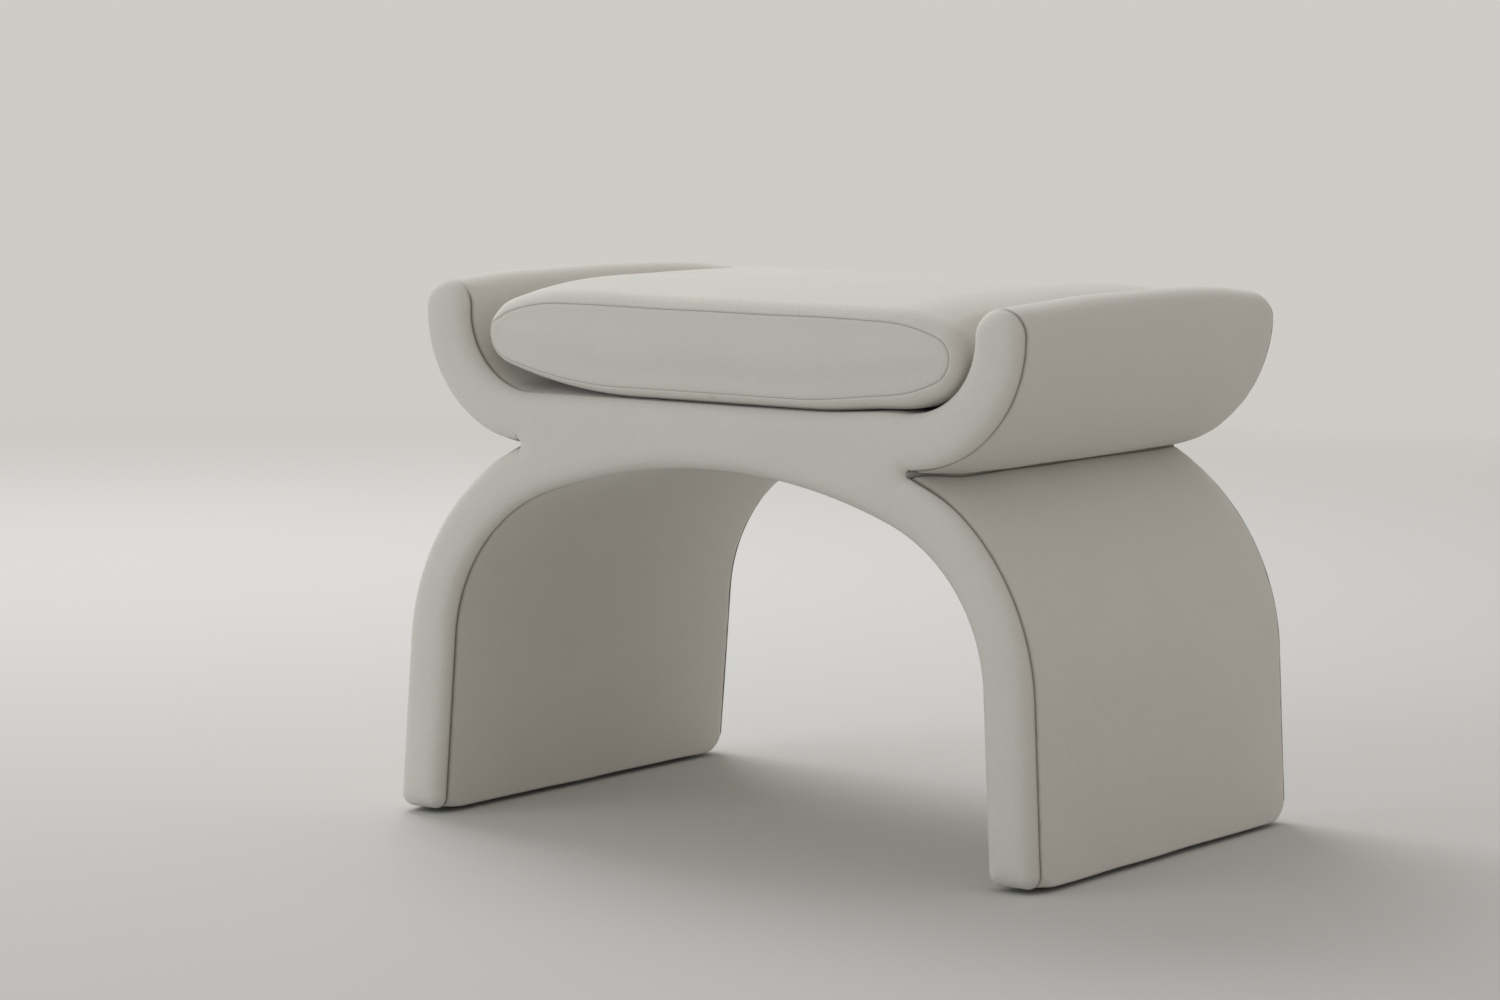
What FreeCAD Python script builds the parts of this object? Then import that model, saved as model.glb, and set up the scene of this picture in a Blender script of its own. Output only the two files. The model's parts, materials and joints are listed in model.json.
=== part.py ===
import FreeCAD, Part
import math
import os

import Sketcher

# Upholstered arched stool with a loose seat cushion, in millimetres.
# Frame: origin on the floor under the middle, X across the arms, -Y to the front, Z up.

doc = FreeCAD.newDocument("arched_stool")

# Driving dimensions
SIZES = {
    "base_depth": "436",
    "leg_span": "630",
    "leg_splay": "3.5",
    "leg_straight": "150",
    "leg_thickness": "46",
    "waist_span": "396",
    "notch_radius": "2.5",
    "arm_height": "455",
    "arm_span": "582",
    "arm_thickness": "45",
    "cradle_radius": "65",
    "arch_height": "311",
    "arch_rise": "156",
    "arch_side_radius": "143",
    "bridge_thickness": "54",
    "edge_radius": "15",
    "seam_setback": "13",
    "cover_thickness": "1.5",
    "side_foam": "9",
    "face_foam": "16",
    "skin_thickness": "4",
    "layer_gap": "0.3",
    "rib_thickness": "18",
    "rail_height": "40",
    "waist_rail_width": "30",
    "waist_rail_inset": "28",
    "deck_rail_width": "30",
    "deck_rail_spacing": "90",
    "screw_diameter": "4",
    "screw_length": "45",
    "screw_head_diameter": "8",
    "screw_head_depth": "3",
    "fastener_clearance": "0.1",
    "dust_thickness": "1.2",
    "glide_height": "8",
    "glide_diameter": "24",
    "glide_base_diameter": "16",
    "glide_inset": "48",
    "nail_diameter": "2.6",
    "nail_length": "22",
    "nail_seat": "3",
    "cushion_side_gap": "13",
    "cushion_setback": "9.5",
    "cushion_height": "86",
    "cushion_crown": "9",
    "cushion_draw": "3",
    "cushion_end_radius": "29",
    "cushion_end_height": "48",
    "cushion_shoulder_radius": "150",
    "cushion_edge_radius": "20",
    "cushion_cap_inset": "11",
    "cushion_gap": "0.3",
    "zip_length": "300",
    "zip_width": "22",
    "zip_tape_thickness": "0.8",
    "zip_chain_width": "5",
    "zip_chain_height": "1.4",
    "slider_length": "12",
    "slider_wall": "1.2",
    "slider_clearance": "0.3",
    "pull_length": "22",
    "pull_thickness": "1",
}

# Places worked out from the driving dimensions. The outer outline has a tangent point for each change
# of curve, with the unit normal that points into the stool.
LAYOUT = {
    "half_depth": "sizes.base_depth / 2",
    "reach": "sizes.leg_span + sizes.arm_height",
    "lean_cos": "cos(sizes.leg_splay)",
    "lean_sin": "sin(sizes.leg_splay)",
    "lean_tan": "tan(sizes.leg_splay)",
    "leg_half": "sizes.leg_span / 2",
    "leg_width": "sizes.leg_thickness / lean_cos",
    "arch_spring": "sizes.arch_height - sizes.arch_rise",
    "deck_height": "sizes.arch_height + sizes.bridge_thickness",
    # Layers from the fabric inwards
    "foam_out": "sizes.cover_thickness + sizes.layer_gap",
    "foam_in": "foam_out + sizes.side_foam",
    "skin_out": "foam_in + sizes.layer_gap",
    "skin_in": "skin_out + sizes.skin_thickness",
    "rib_out": "skin_in + sizes.layer_gap",
    "rib_face": "half_depth - foam_out - sizes.face_foam",
    "rail_end": "rib_face - sizes.rib_thickness",
    "seam_y": "half_depth - sizes.seam_setback",
    "foot_top": "sizes.glide_height + sizes.dust_thickness",
    # Arms: a tip circle at the end of a ring about the cradle centre
    "tip_radius": "sizes.arm_thickness / 2",
    "tip_x": "sizes.arm_span / 2 - tip_radius",
    "tip_z": "sizes.arm_height - tip_radius",
    "cradle_z": "deck_height + sizes.cradle_radius",
    "arm_middle": "sizes.cradle_radius + tip_radius",
    "arm_outer": "sizes.cradle_radius + sizes.arm_thickness",
    "arm_nz": "(tip_z - cradle_z) / arm_middle",
    "arm_nx": "sqrt(1 - arm_nz ^ 2)",
    "cradle_x": "tip_x - arm_middle * arm_nx",
    # Waist notch between leg and arm
    "notch_x": "sizes.waist_span / 2 + sizes.notch_radius",
    "notch_reach": "arm_outer + sizes.notch_radius",
    "notch_z": "cradle_z - sqrt(notch_reach ^ 2 - (notch_x - cradle_x) ^ 2)",
    "notch_high_nx": "(cradle_x - notch_x) / notch_reach",
    "notch_high_nz": "(cradle_z - notch_z) / notch_reach",
    "notch_high_x": "notch_x + sizes.notch_radius * notch_high_nx",
    "notch_high_z": "notch_z + sizes.notch_radius * notch_high_nz",
    # Knee: where the straight leg turns into the arc up to the waist
    "knee_x": "leg_half - sizes.leg_straight * lean_tan",
    "waist_dx": "notch_x - knee_x",
    "waist_dz": "notch_z - sizes.leg_straight",
    "waist_turn": "sizes.notch_radius - waist_dx * lean_cos - waist_dz * lean_sin",
    "knee_radius": "(waist_dx ^ 2 + waist_dz ^ 2 - sizes.notch_radius ^ 2) / (2 * waist_turn)",
    "knee_centre_x": "knee_x - knee_radius * lean_cos",
    "knee_centre_z": "sizes.leg_straight - knee_radius * lean_sin",
    "notch_low_nx": "(knee_centre_x - notch_x) / (knee_radius + sizes.notch_radius)",
    "notch_low_nz": "(knee_centre_z - notch_z) / (knee_radius + sizes.notch_radius)",
    "notch_low_x": "notch_x + sizes.notch_radius * notch_low_nx",
    "notch_low_z": "notch_z + sizes.notch_radius * notch_low_nz",
    # Arch: splayed sides, a side arc each and one flat crown arc
    "spring_x": "leg_half - arch_spring * lean_tan - leg_width",
    "side_x": "spring_x - sizes.arch_side_radius * lean_cos",
    "side_z": "arch_spring - sizes.arch_side_radius * lean_sin",
    "side_drop": "side_z - sizes.arch_height",
    "crown_sum": "sizes.arch_side_radius ^ 2 - side_x ^ 2 - side_drop ^ 2",
    "crown_radius": "crown_sum / (2 * (side_drop + sizes.arch_side_radius))",
    "crown_z": "sizes.arch_height - crown_radius",
    "haunch_nx": "side_x / (crown_radius - sizes.arch_side_radius)",
    "haunch_nz": "(side_z - crown_z) / (crown_radius - sizes.arch_side_radius)",
    "haunch_x": "haunch_nx * crown_radius",
    "haunch_z": "crown_z + haunch_nz * crown_radius",
    # Middles that the zones, rails and fasteners refer to
    "bridge_z": "(sizes.arch_height + deck_height) / 2",
    "leg_middle": "leg_half - leg_width / 2",
    "foot_rail_z": "foot_top + sizes.rail_height / 2",
    "deck_rail_top": "deck_height - rib_out",
    "waist_rail_x": "notch_x - sizes.waist_rail_inset - sizes.waist_rail_width / 2",
    "waist_rail_z": "deck_rail_top - sizes.waist_rail_width / 2",
    "arm_rail_z": "tip_z - tip_radius",
    "arm_rail_x": "cradle_x + sqrt(arm_middle ^ 2 - (cradle_z - arm_rail_z) ^ 2)",
    "arm_rail_inner": "arm_rail_x - tip_radius",
    # Cushion
    "seat_z": "deck_height + sizes.cushion_gap",
    "cushion_half": "cradle_x + sizes.cradle_radius - sizes.cushion_side_gap",
    "cushion_end": "half_depth - sizes.cushion_setback",
    "cushion_inner_end": "cushion_end - sizes.cushion_edge_radius",
    "cushion_core_offset": "sizes.cover_thickness + sizes.layer_gap",
    "zip_z": "seat_z + sizes.cushion_height / 2",
    "chain_top": "cushion_end + sizes.zip_tape_thickness + sizes.zip_chain_height",
    "slider_half": "sizes.zip_chain_width / 2 + sizes.slider_clearance + sizes.slider_wall",
    "slider_low": "cushion_end + sizes.zip_tape_thickness + sizes.slider_clearance",
    "slider_roof": "chain_top + sizes.slider_clearance",
    "slider_x": "sizes.zip_length / 2 - sizes.slider_length",
}


def fill_sheet(name, cells, prefix):
    """One row per value: its name in column A and the value, under that alias, in column B."""
    sheet = doc.addObject("Spreadsheet::Sheet", name)
    for row, (alias, text) in enumerate(cells.items(), start=1):
        sheet.set(f"A{row}", alias)
        sheet.set(f"B{row}", prefix + text)
        sheet.setAlias(f"B{row}", alias)
    doc.recompute()
    return sheet


sizes = fill_sheet("sizes", SIZES, "")
layout = fill_sheet("layout", LAYOUT, "=")


def value(expression):
    """The number that an expression on the two sheets gives."""
    result = layout.evalExpression(expression)
    return float(getattr(result, "Value", result))


# Sketching helpers

def origin_plane(body, role):
    """The body's own origin plane with this role."""
    return next(plane for plane in body.Origin.OriginFeatures if plane.Role == role)


def new_sketch(body, name, role, offset=None):
    """A sketch on an origin plane, moved along the plane's normal by an expression."""
    sketch = body.newObject("Sketcher::SketchObject", name)
    sketch.AttachmentSupport = [(origin_plane(body, role), "")]
    sketch.MapMode = "FlatFace"
    if offset:
        sketch.setExpression("AttachmentOffset.Base.z", offset)
    return sketch


def arc_middle(start, end, radius, turn):
    """The middle point of the short arc from start to end; turn is 1 to the left and -1 to the right."""
    chord = end - start
    rise = radius - math.sqrt(radius ** 2 - (chord.Length / 2) ** 2)
    right_hand = FreeCAD.Vector(chord.y, -chord.x, 0).normalize()
    return (start + end) / 2 + right_hand * rise * turn


def draw_closed(sketch, points, segments):
    """A closed chain: each segment is None for a line or (radius expression, turn) for an arc.

    Returns one (geometry, start position, end position) per segment.
    """
    ends = []
    for index, segment in enumerate(segments):
        start = points[index]
        end = points[(index + 1) % len(points)]
        if segment is None:
            ends.append((sketch.addGeometry(Part.LineSegment(start, end)), 1, 2))
            continue
        radius, turn = segment
        middle = arc_middle(start, end, value(radius), turn)
        if turn > 0:
            ends.append((sketch.addGeometry(Part.Arc(start, middle, end)), 1, 2))
        else:
            ends.append((sketch.addGeometry(Part.Arc(end, middle, start)), 2, 1))
    for (before, _, last), (after, first, _) in zip(ends, ends[1:] + ends[:1]):
        sketch.addConstraint(Sketcher.Constraint("Coincident", before, last, after, first))
    return ends


def bind(sketch, constraint, expression):
    """Adds a dimension whose value is read from the sheets."""
    index = sketch.addConstraint(constraint)
    sketch.setExpression(f"Constraints[{index}]", expression)


def draw_mirrored(sketch, half, segments, bridge):
    """A closed outline from its right half, given from the floor upwards.

    half holds (x, z) expressions, segments join them, bridge joins the last one to its mirror image,
    and a straight line closes the outline below.
    """
    right = [FreeCAD.Vector(value(x), value(z), 0) for x, z in half]
    left = [FreeCAD.Vector(-point.x, point.y, 0) for point in reversed(right)]
    ends = draw_closed(sketch, right + left, segments + [bridge] + segments[::-1] + [None])
    count = len(ends)
    for index, (x, z) in enumerate(half):
        geometry, start, _ = ends[index]
        bind(sketch, Sketcher.Constraint("DistanceX", -1, 1, geometry, start, value(x)), x)
        bind(sketch, Sketcher.Constraint("DistanceY", -1, 1, geometry, start, value(z)), z)
        twin, twin_start, _ = ends[count - 1 - index]
        sketch.addConstraint(Sketcher.Constraint("Symmetric", geometry, start, twin, twin_start, -2))
    for index, segment in enumerate(segments + [bridge]):
        if segment is None:
            continue
        geometry = ends[index][0]
        bind(sketch, Sketcher.Constraint("Radius", geometry, value(segment[0])), segment[0])
        twin = ends[count - 2 - index][0]
        if twin != geometry:
            sketch.addConstraint(Sketcher.Constraint("Equal", geometry, twin))


def extrude(body, kind, name, sketch, length):
    """A pad or pocket of one sketch, even to both sides of its plane."""
    feature = body.newObject("PartDesign::" + kind, name)
    feature.Profile = sketch
    feature.SideType = "Symmetric"
    feature.setExpression("Length", length)
    return feature


# Outlines of the stool, moved inwards by an offset

def shifted(place, normal, offset):
    """The (x, z) expressions of an outline point moved along its normal."""
    return (f"layout.{place}_x + ({offset}) * layout.{normal}_nx",
            f"layout.{place}_z + ({offset}) * layout.{normal}_nz")


def leg_line(height, offset, width="0"):
    """x of the splayed leg at a height, at an offset and width in from its outer face."""
    return f"layout.leg_half - ({height}) * layout.lean_tan - ({offset}) / layout.lean_cos - {width}"


def outer_outline(sketch, offset, foot):
    """Legs, waist notches, arms, cradle and deck."""
    tip = f"(layout.tip_radius - ({offset}))"
    half = [
        (leg_line(foot, offset), foot),
        (f"layout.knee_x - ({offset}) * layout.lean_cos",
         f"sizes.leg_straight - ({offset}) * layout.lean_sin"),
        shifted("notch_low", "notch_low", offset),
        shifted("notch_high", "notch_high", offset),
        (f"layout.tip_x + {tip} * layout.arm_nx", f"layout.tip_z + {tip} * layout.arm_nz"),
        (f"layout.tip_x - {tip} * layout.arm_nz", f"layout.tip_z + {tip} * layout.arm_nx"),
        (f"layout.tip_x - {tip} * layout.arm_nx", f"layout.tip_z - {tip} * layout.arm_nz"),
        ("layout.cradle_x", f"layout.deck_height - ({offset})"),
    ]
    segments = [
        None,
        (f"layout.knee_radius - ({offset})", 1),
        (f"sizes.notch_radius + ({offset})", -1),
        (f"layout.arm_outer - ({offset})", 1),
        (tip, 1),
        (tip, 1),
        (f"sizes.cradle_radius + ({offset})", -1),
    ]
    draw_mirrored(sketch, half, segments, None)


def arch_outline(sketch, offset, foot):
    """The opening between the legs, grown into the stool by the offset."""
    half = [
        (leg_line(foot, f"-({offset})", "layout.leg_width"), foot),
        (f"layout.spring_x + ({offset}) * layout.lean_cos",
         f"layout.arch_spring + ({offset}) * layout.lean_sin"),
        shifted("haunch", "haunch", offset),
    ]
    segments = [None, (f"sizes.arch_side_radius + ({offset})", 1)]
    draw_mirrored(sketch, half, segments, (f"layout.crown_radius + ({offset})", 1))


def face_edges(shape, half_depth, foot):
    """Names of the edges round the front and rear faces, without those under the feet."""
    names = []
    for number, edge in enumerate(shape.Edges, start=1):
        box = edge.BoundBox
        on_face = box.YLength < 1e-4 and abs(abs(box.Center.y) - half_depth) < 1e-4
        if on_face and box.ZMax > foot + 1e-4:
            names.append(f"Edge{number}")
    return names


def envelope(name, offset, half_depth, foot, edge_radius=None):
    """The whole arched stool at an offset inside its surface, with rounded face edges if asked."""
    body = doc.addObject("PartDesign::Body", name)
    outline = new_sketch(body, name + "_outline", "XZ_Plane")
    outer_outline(outline, offset, foot)
    extrude(body, "Pad", name + "_pad", outline, f"2 * ({half_depth})")
    arch = new_sketch(body, name + "_arch", "XZ_Plane")
    arch_outline(arch, offset, foot)
    opening = extrude(body, "Pocket", name + "_opening", arch, "2 * layout.reach")
    doc.recompute()
    if edge_radius:
        rounding = body.newObject("PartDesign::Fillet", name + "_rounding")
        rounding.Base = (opening, face_edges(opening.Shape, value(half_depth), value(foot)))
        rounding.setExpression("Radius", edge_radius)
        doc.recompute()
    return body


# Cutting helpers

def box(name, x, y, z):
    """A block between pairs of expressions."""
    block = doc.addObject("Part::Box", name)
    for side, axis, (low, high) in (("Length", "x", x), ("Width", "y", y), ("Height", "z", z)):
        block.setExpression(side, f"({high}) - ({low})")
        block.setExpression("Placement.Base." + axis, low)
    return block


def joined(name, shapes):
    """The union of several shapes."""
    union = doc.addObject("Part::MultiFuse", name)
    union.Shapes = shapes
    return union


def shared(name, shapes):
    """What several shapes have in common."""
    common = doc.addObject("Part::MultiCommon", name)
    common.Shapes = shapes
    return common


def cut(name, base, tool):
    """A shape less another."""
    rest = doc.addObject("Part::Cut", name)
    rest.Base = base
    rest.Tool = tool
    return rest


def cylinder(name, radius, height, place, axis):
    """A cylinder from a place, given in expressions, along an axis."""
    rod = doc.addObject("Part::Cylinder", name)
    rod.setExpression("Radius", radius)
    rod.setExpression("Height", height)
    rod.Placement.Rotation = FreeCAD.Rotation(FreeCAD.Vector(0, 0, 1), axis)
    for letter, expression in zip("xyz", place):
        rod.setExpression("Placement.Base." + letter, expression)
    return rod


ALONG_Y = FreeCAD.Vector(0, 1, 0)
WHOLE = ("-layout.reach", "layout.reach")
SIDES = {"left": ("-layout.reach", "0"), "right": ("0", "layout.reach")}
SIGN = {"left": "-", "right": ""}
nodes = []


def node(piece, name=None):
    """Marks a finished sub-part, under the name that its file gets."""
    piece.Label = name or piece.Label
    nodes.append(piece)
    return piece


# Envelopes of the layers
FOOT = "sizes.glide_height"
INNER_FOOT = "layout.foot_top"

cover_outside = envelope("cover_outside", "0", "layout.half_depth", FOOT, "sizes.edge_radius")
cover_inside = envelope("cover_inside", "sizes.cover_thickness", "layout.half_depth - sizes.cover_thickness",
                        "0", "sizes.edge_radius - sizes.cover_thickness")
foam_outside = envelope("foam_outside", "layout.foam_out", "layout.half_depth - layout.foam_out", FOOT,
                        "sizes.edge_radius - layout.foam_out")
foam_inside = envelope("foam_inside", "layout.foam_in", "layout.half_depth", "0")
skin_outside = envelope("skin_outside", "layout.skin_out", "layout.rib_face", INNER_FOOT)
skin_inside = envelope("skin_inside", "layout.skin_in", "layout.half_depth", "0")
frame_outside = envelope("frame_outside", "layout.rib_out", "layout.rib_face", INNER_FOOT)

cover_shell = cut("cover_shell", cover_outside, cover_inside)
foam_shell = cut("foam_shell", foam_outside, foam_inside)
skin_shell = cut("skin_shell", skin_outside, skin_inside)

# Zones that the panels of every layer are cut by
arch_zone = doc.addObject("PartDesign::Body", "arch_zone")
arch_zone_sketch = new_sketch(arch_zone, "arch_zone_outline", "XZ_Plane")
arch_outline(arch_zone_sketch, "layout.rib_out", "0")
extrude(arch_zone, "Pad", "arch_zone_pad", arch_zone_sketch, "2 * layout.reach")

deck_across = ("-layout.cradle_x", "layout.cradle_x")
cradle_parts = [box("deck_zone", deck_across, WHOLE, ("layout.bridge_z", "layout.reach"))]
for side in SIDES:
    place = (SIGN[side] + "layout.cradle_x", "-layout.reach", "layout.cradle_z")
    bend = cylinder(side + "_cradle_zone", "layout.arm_middle", "2 * layout.reach", place, ALONG_Y)
    cradle_parts.append(bend)
cradle_zone = joined("cradle_zone", cradle_parts)
inner_zone = joined("inner_zone", [arch_zone, cradle_zone])

zones = {"arch": arch_zone, "cradle": cradle_zone}
for side, across in SIDES.items():
    leg_block = box(side + "_leg_block", across, WHOLE, ("0", "layout.notch_z"))
    arm_block = box(side + "_arm_block", across, WHOLE, ("layout.notch_z", "layout.reach"))
    zones[side + "_leg"] = cut(side + "_leg_zone", leg_block, inner_zone)
    zones[side + "_arm"] = cut(side + "_arm_zone", arm_block, inner_zone)

ABOVE_DUST = (INNER_FOOT, "layout.reach")


def beyond(place):
    """The stretches of depth in front of and behind the middle, from a place outwards."""
    return {"front": ("-layout.reach", f"-{place}"), "rear": (place, "layout.reach")}


# Fabric covers: a panel on each face, turned round the edges to the seams, and panels between the seams
for face, depth in beyond("layout.seam_y").items():
    node(shared(face + "_cover", [cover_shell, box(face + "_panel_block", WHOLE, depth, WHOLE)]))
panel_block = box("side_panel_block", WHOLE, ("-layout.seam_y", "layout.seam_y"), WHOLE)
for place, zone in zones.items():
    node(shared(place + "_cover", [cover_shell, panel_block, zone]))

# Foam under the covers
for face, depth in beyond("layout.rib_face").items():
    node(shared(face + "_foam", [foam_outside, box(face + "_pad_block", WHOLE, depth, ABOVE_DUST)]))
side_pad_block = box("side_pad_block", WHOLE, ("-layout.rib_face", "layout.rib_face"), ABOVE_DUST)
for place, zone in zones.items():
    node(shared(place + "_foam", [foam_shell, side_pad_block, zone]))

# Bent plywood skins under the foam
for place, zone in zones.items():
    node(shared(place + "_skin", [skin_shell, zone]))

# Screws through the ribs into the rail ends, one at each end of each rail
screw_body = doc.addObject("PartDesign::Body", "screw")
screw_hole_body = doc.addObject("PartDesign::Body", "screw_hole")


def turned(body, name, points):
    """A solid turned about the sketch's own vertical axis from (radius, height) expressions."""
    sketch = new_sketch(body, name + "_profile", "XZ_Plane")
    vectors = [FreeCAD.Vector(value(radius), value(height), 0) for radius, height in points]
    ends = draw_closed(sketch, vectors, [None] * len(points))
    for (geometry, start, _), (radius, height) in zip(ends, points):
        bind(sketch, Sketcher.Constraint("DistanceX", -1, 1, geometry, start, value(radius)), radius)
        bind(sketch, Sketcher.Constraint("DistanceY", -1, 1, geometry, start, value(height)), height)
    solid = body.newObject("PartDesign::Revolution", name + "_turned")
    solid.Profile = sketch
    solid.ReferenceAxis = (sketch, ["V_Axis"])
    solid.Angle = 360
    doc.recompute()


def screw_profile(clearance):
    """Half of a countersunk screw, head upwards with its face at height 0."""
    shank = f"sizes.screw_diameter / 2 + {clearance}"
    head = f"sizes.screw_head_diameter / 2 + {clearance}"
    tip = f"-sizes.screw_length - {clearance}"
    neck = f"-sizes.screw_head_depth - {clearance}"
    return [("0", tip), (shank, tip), (shank, neck), (head, "0"), ("0", "0")]


turned(screw_body, "screw", screw_profile("0"))
turned(screw_hole_body, "screw_hole", screw_profile("sizes.fastener_clearance"))

deck_rails = {
    "left_deck": "-sizes.deck_rail_spacing",
    "centre_deck": "0",
    "right_deck": "sizes.deck_rail_spacing",
}
arm_across = {
    "left": ("-layout.reach", "-layout.arm_rail_inner"),
    "right": ("layout.arm_rail_inner", "layout.reach"),
}
rails = {}
screw_points = []
for side, across in SIDES.items():
    sign = SIGN[side]
    knee_span = ("sizes.leg_straight - sizes.rail_height / 2",
                 "sizes.leg_straight + sizes.rail_height / 2")
    waist_inner = f"{sign}(layout.waist_rail_x - sizes.waist_rail_width / 2)"
    waist_outer = f"{sign}(layout.waist_rail_x + sizes.waist_rail_width / 2)"
    waist_across = (waist_inner, waist_outer) if side == "right" else (waist_outer, waist_inner)
    rails[side + "_foot"] = (across, (INNER_FOOT, "layout.foot_top + sizes.rail_height"))
    rails[side + "_knee"] = (across, knee_span)
    rails[side + "_waist"] = (waist_across, ("layout.deck_rail_top - sizes.waist_rail_width", "layout.reach"))
    rails[side + "_arm"] = (arm_across[side], ("layout.arm_rail_z - sizes.rail_height / 2", "layout.reach"))
    for x, z in (
        ("layout.leg_middle - layout.foot_rail_z * layout.lean_tan", "layout.foot_rail_z"),
        ("layout.leg_middle - sizes.leg_straight * layout.lean_tan", "sizes.leg_straight"),
        ("layout.waist_rail_x", "layout.waist_rail_z"),
        ("layout.arm_rail_x", "layout.arm_rail_z"),
    ):
        screw_points.append((f"{sign}({x})", z))
for name, middle in deck_rails.items():
    span = (f"{middle} - sizes.deck_rail_width / 2", f"{middle} + sizes.deck_rail_width / 2")
    rails[name] = (span, ("layout.bridge_z - sizes.rail_height", "layout.bridge_z + sizes.rail_height"))
    screw_points.append((middle, "layout.bridge_z"))


def placed_copies(shape):
    """Copies of a screw at both ends of every rail, heads outwards."""
    copies = []
    for face, toward in ((-1, -ALONG_Y), (1, ALONG_Y)):
        turn = FreeCAD.Rotation(FreeCAD.Vector(0, 0, 1), toward)
        for x, z in screw_points:
            spot = FreeCAD.Vector(value(x), face * value("layout.rib_face"), value(z))
            copies.append(shape.transformed(FreeCAD.Placement(spot, turn).toMatrix(), True))
    return Part.makeCompound(copies)


screws = doc.addObject("Part::Feature", "rib_screws")
screws.Shape = placed_copies(screw_body.Shape)
node(screws)
screw_holes = doc.addObject("Part::Feature", "screw_holes")
screw_holes.Shape = placed_copies(screw_hole_body.Shape)

# Plywood ribs, cut to the outline, and the rails between them
for face, depth in (
    ("front", ("-layout.rib_face", "-layout.rail_end")),
    ("rear", ("layout.rail_end", "layout.rib_face")),
):
    blank = shared(face + "_rib_blank", [frame_outside, box(face + "_rib_block", WHOLE, depth, WHOLE)])
    node(cut(face + "_rib", blank, screw_holes))

# Nails of the floor glides, set under the middle of each leg
nail_body = doc.addObject("PartDesign::Body", "nail")
nail_hole_body = doc.addObject("PartDesign::Body", "nail_hole")


def nail_profile(clearance):
    """Half of a plain nail that stands in the glide and reaches up into the foot rail."""
    shank = f"sizes.nail_diameter / 2 + {clearance}"
    top = f"sizes.nail_seat + sizes.nail_length + {clearance}"
    low = f"sizes.nail_seat - {clearance}"
    return [("0", low), (shank, low), (shank, top), ("0", top)]


turned(nail_body, "nail", nail_profile("0"))
turned(nail_hole_body, "nail_hole", nail_profile("sizes.fastener_clearance"))

glide_body = doc.addObject("PartDesign::Body", "glide")
bore = "sizes.nail_diameter / 2 + sizes.fastener_clearance"
bore_end = "sizes.nail_seat - sizes.fastener_clearance"
turned(glide_body, "glide", [
    ("0", "0"),
    ("sizes.glide_base_diameter / 2", "0"),
    ("sizes.glide_diameter / 2", "sizes.nail_seat"),
    ("sizes.glide_diameter / 2", FOOT),
    (bore, FOOT),
    (bore, bore_end),
    ("0", bore_end),
])


def under_legs(shape):
    """Copies of a shape under the front and rear of both legs."""
    x = value("layout.leg_middle - sizes.glide_height * layout.lean_tan")
    y = value("layout.half_depth - sizes.glide_inset")
    spots = [FreeCAD.Vector(i * x, j * y, 0) for i in (-1, 1) for j in (-1, 1)]
    return Part.makeCompound([shape.translated(spot) for spot in spots])


for name, shape in (("floor_glides", glide_body.Shape), ("glide_nails", nail_body.Shape)):
    group = doc.addObject("Part::Feature", name)
    group.Shape = under_legs(shape)
    node(group)
nail_holes = doc.addObject("Part::Feature", "nail_holes")
nail_holes.Shape = under_legs(nail_hole_body.Shape)

between_ribs = ("-layout.rail_end", "layout.rail_end")
for name, (across, height) in rails.items():
    block = box(name + "_rail_block", across, between_ribs, height)
    blank = shared(name + "_rail_blank", [frame_outside, block])
    rail = cut(name + "_rail", blank, screw_holes)
    if name.endswith("foot"):
        rail.Label = name + "_rail_drilled"
        rail = cut(name + "_rail_finished", rail, nail_holes)
    node(rail, name + "_rail")

# Dust covers close the undersides of the legs
for side, across in SIDES.items():
    block = box(side + "_dust_block", across, WHOLE, (FOOT, INNER_FOOT))
    blank = shared(side + "_dust_blank", [foam_outside, block])
    node(cut(side + "_dust_cover", blank, nail_holes))


# Loose seat cushion: an oval tube with a crowned top, drawn in between its ends
ROUNDING_ANGLES = (0, 30, 60)
CROWN_STEPS = 3


def cushion_outline(sketch, offset, draw, crown):
    """One section of the cushion, moved inwards by the offset: flat below and above, with a shoulder
    arc, a tight end arc and another shoulder arc at each end."""
    spread = "(sizes.cushion_shoulder_radius - sizes.cushion_end_radius)"
    end_arc = f"(sizes.cushion_end_radius - ({offset}))"
    end_x = f"(layout.cushion_half - sizes.cushion_end_radius - ({draw}))"
    end_z = "(layout.seat_z + sizes.cushion_end_height)"
    low_rise = "(sizes.cushion_shoulder_radius - sizes.cushion_end_height)"
    top_height = f"(sizes.cushion_height + ({crown}))"
    high_rise = f"(sizes.cushion_shoulder_radius + sizes.cushion_end_height - {top_height})"
    low_run = f"sqrt({spread} ^ 2 - {low_rise} ^ 2)"
    high_run = f"sqrt({spread} ^ 2 - {high_rise} ^ 2)"
    half = [
        (f"{end_x} - {low_run}", f"layout.seat_z + ({offset})"),
        (f"{end_x} + {low_run} / {spread} * {end_arc}",
         f"{end_z} - {low_rise} / {spread} * {end_arc}"),
        (f"{end_x} + {high_run} / {spread} * {end_arc}",
         f"{end_z} + {high_rise} / {spread} * {end_arc}"),
        (f"{end_x} - {high_run}", f"layout.seat_z + {top_height} - ({offset})"),
    ]
    shoulder = f"sizes.cushion_shoulder_radius - ({offset})"
    draw_mirrored(sketch, half, [(shoulder, 1), (end_arc, 1), (shoulder, 1)], None)


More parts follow.
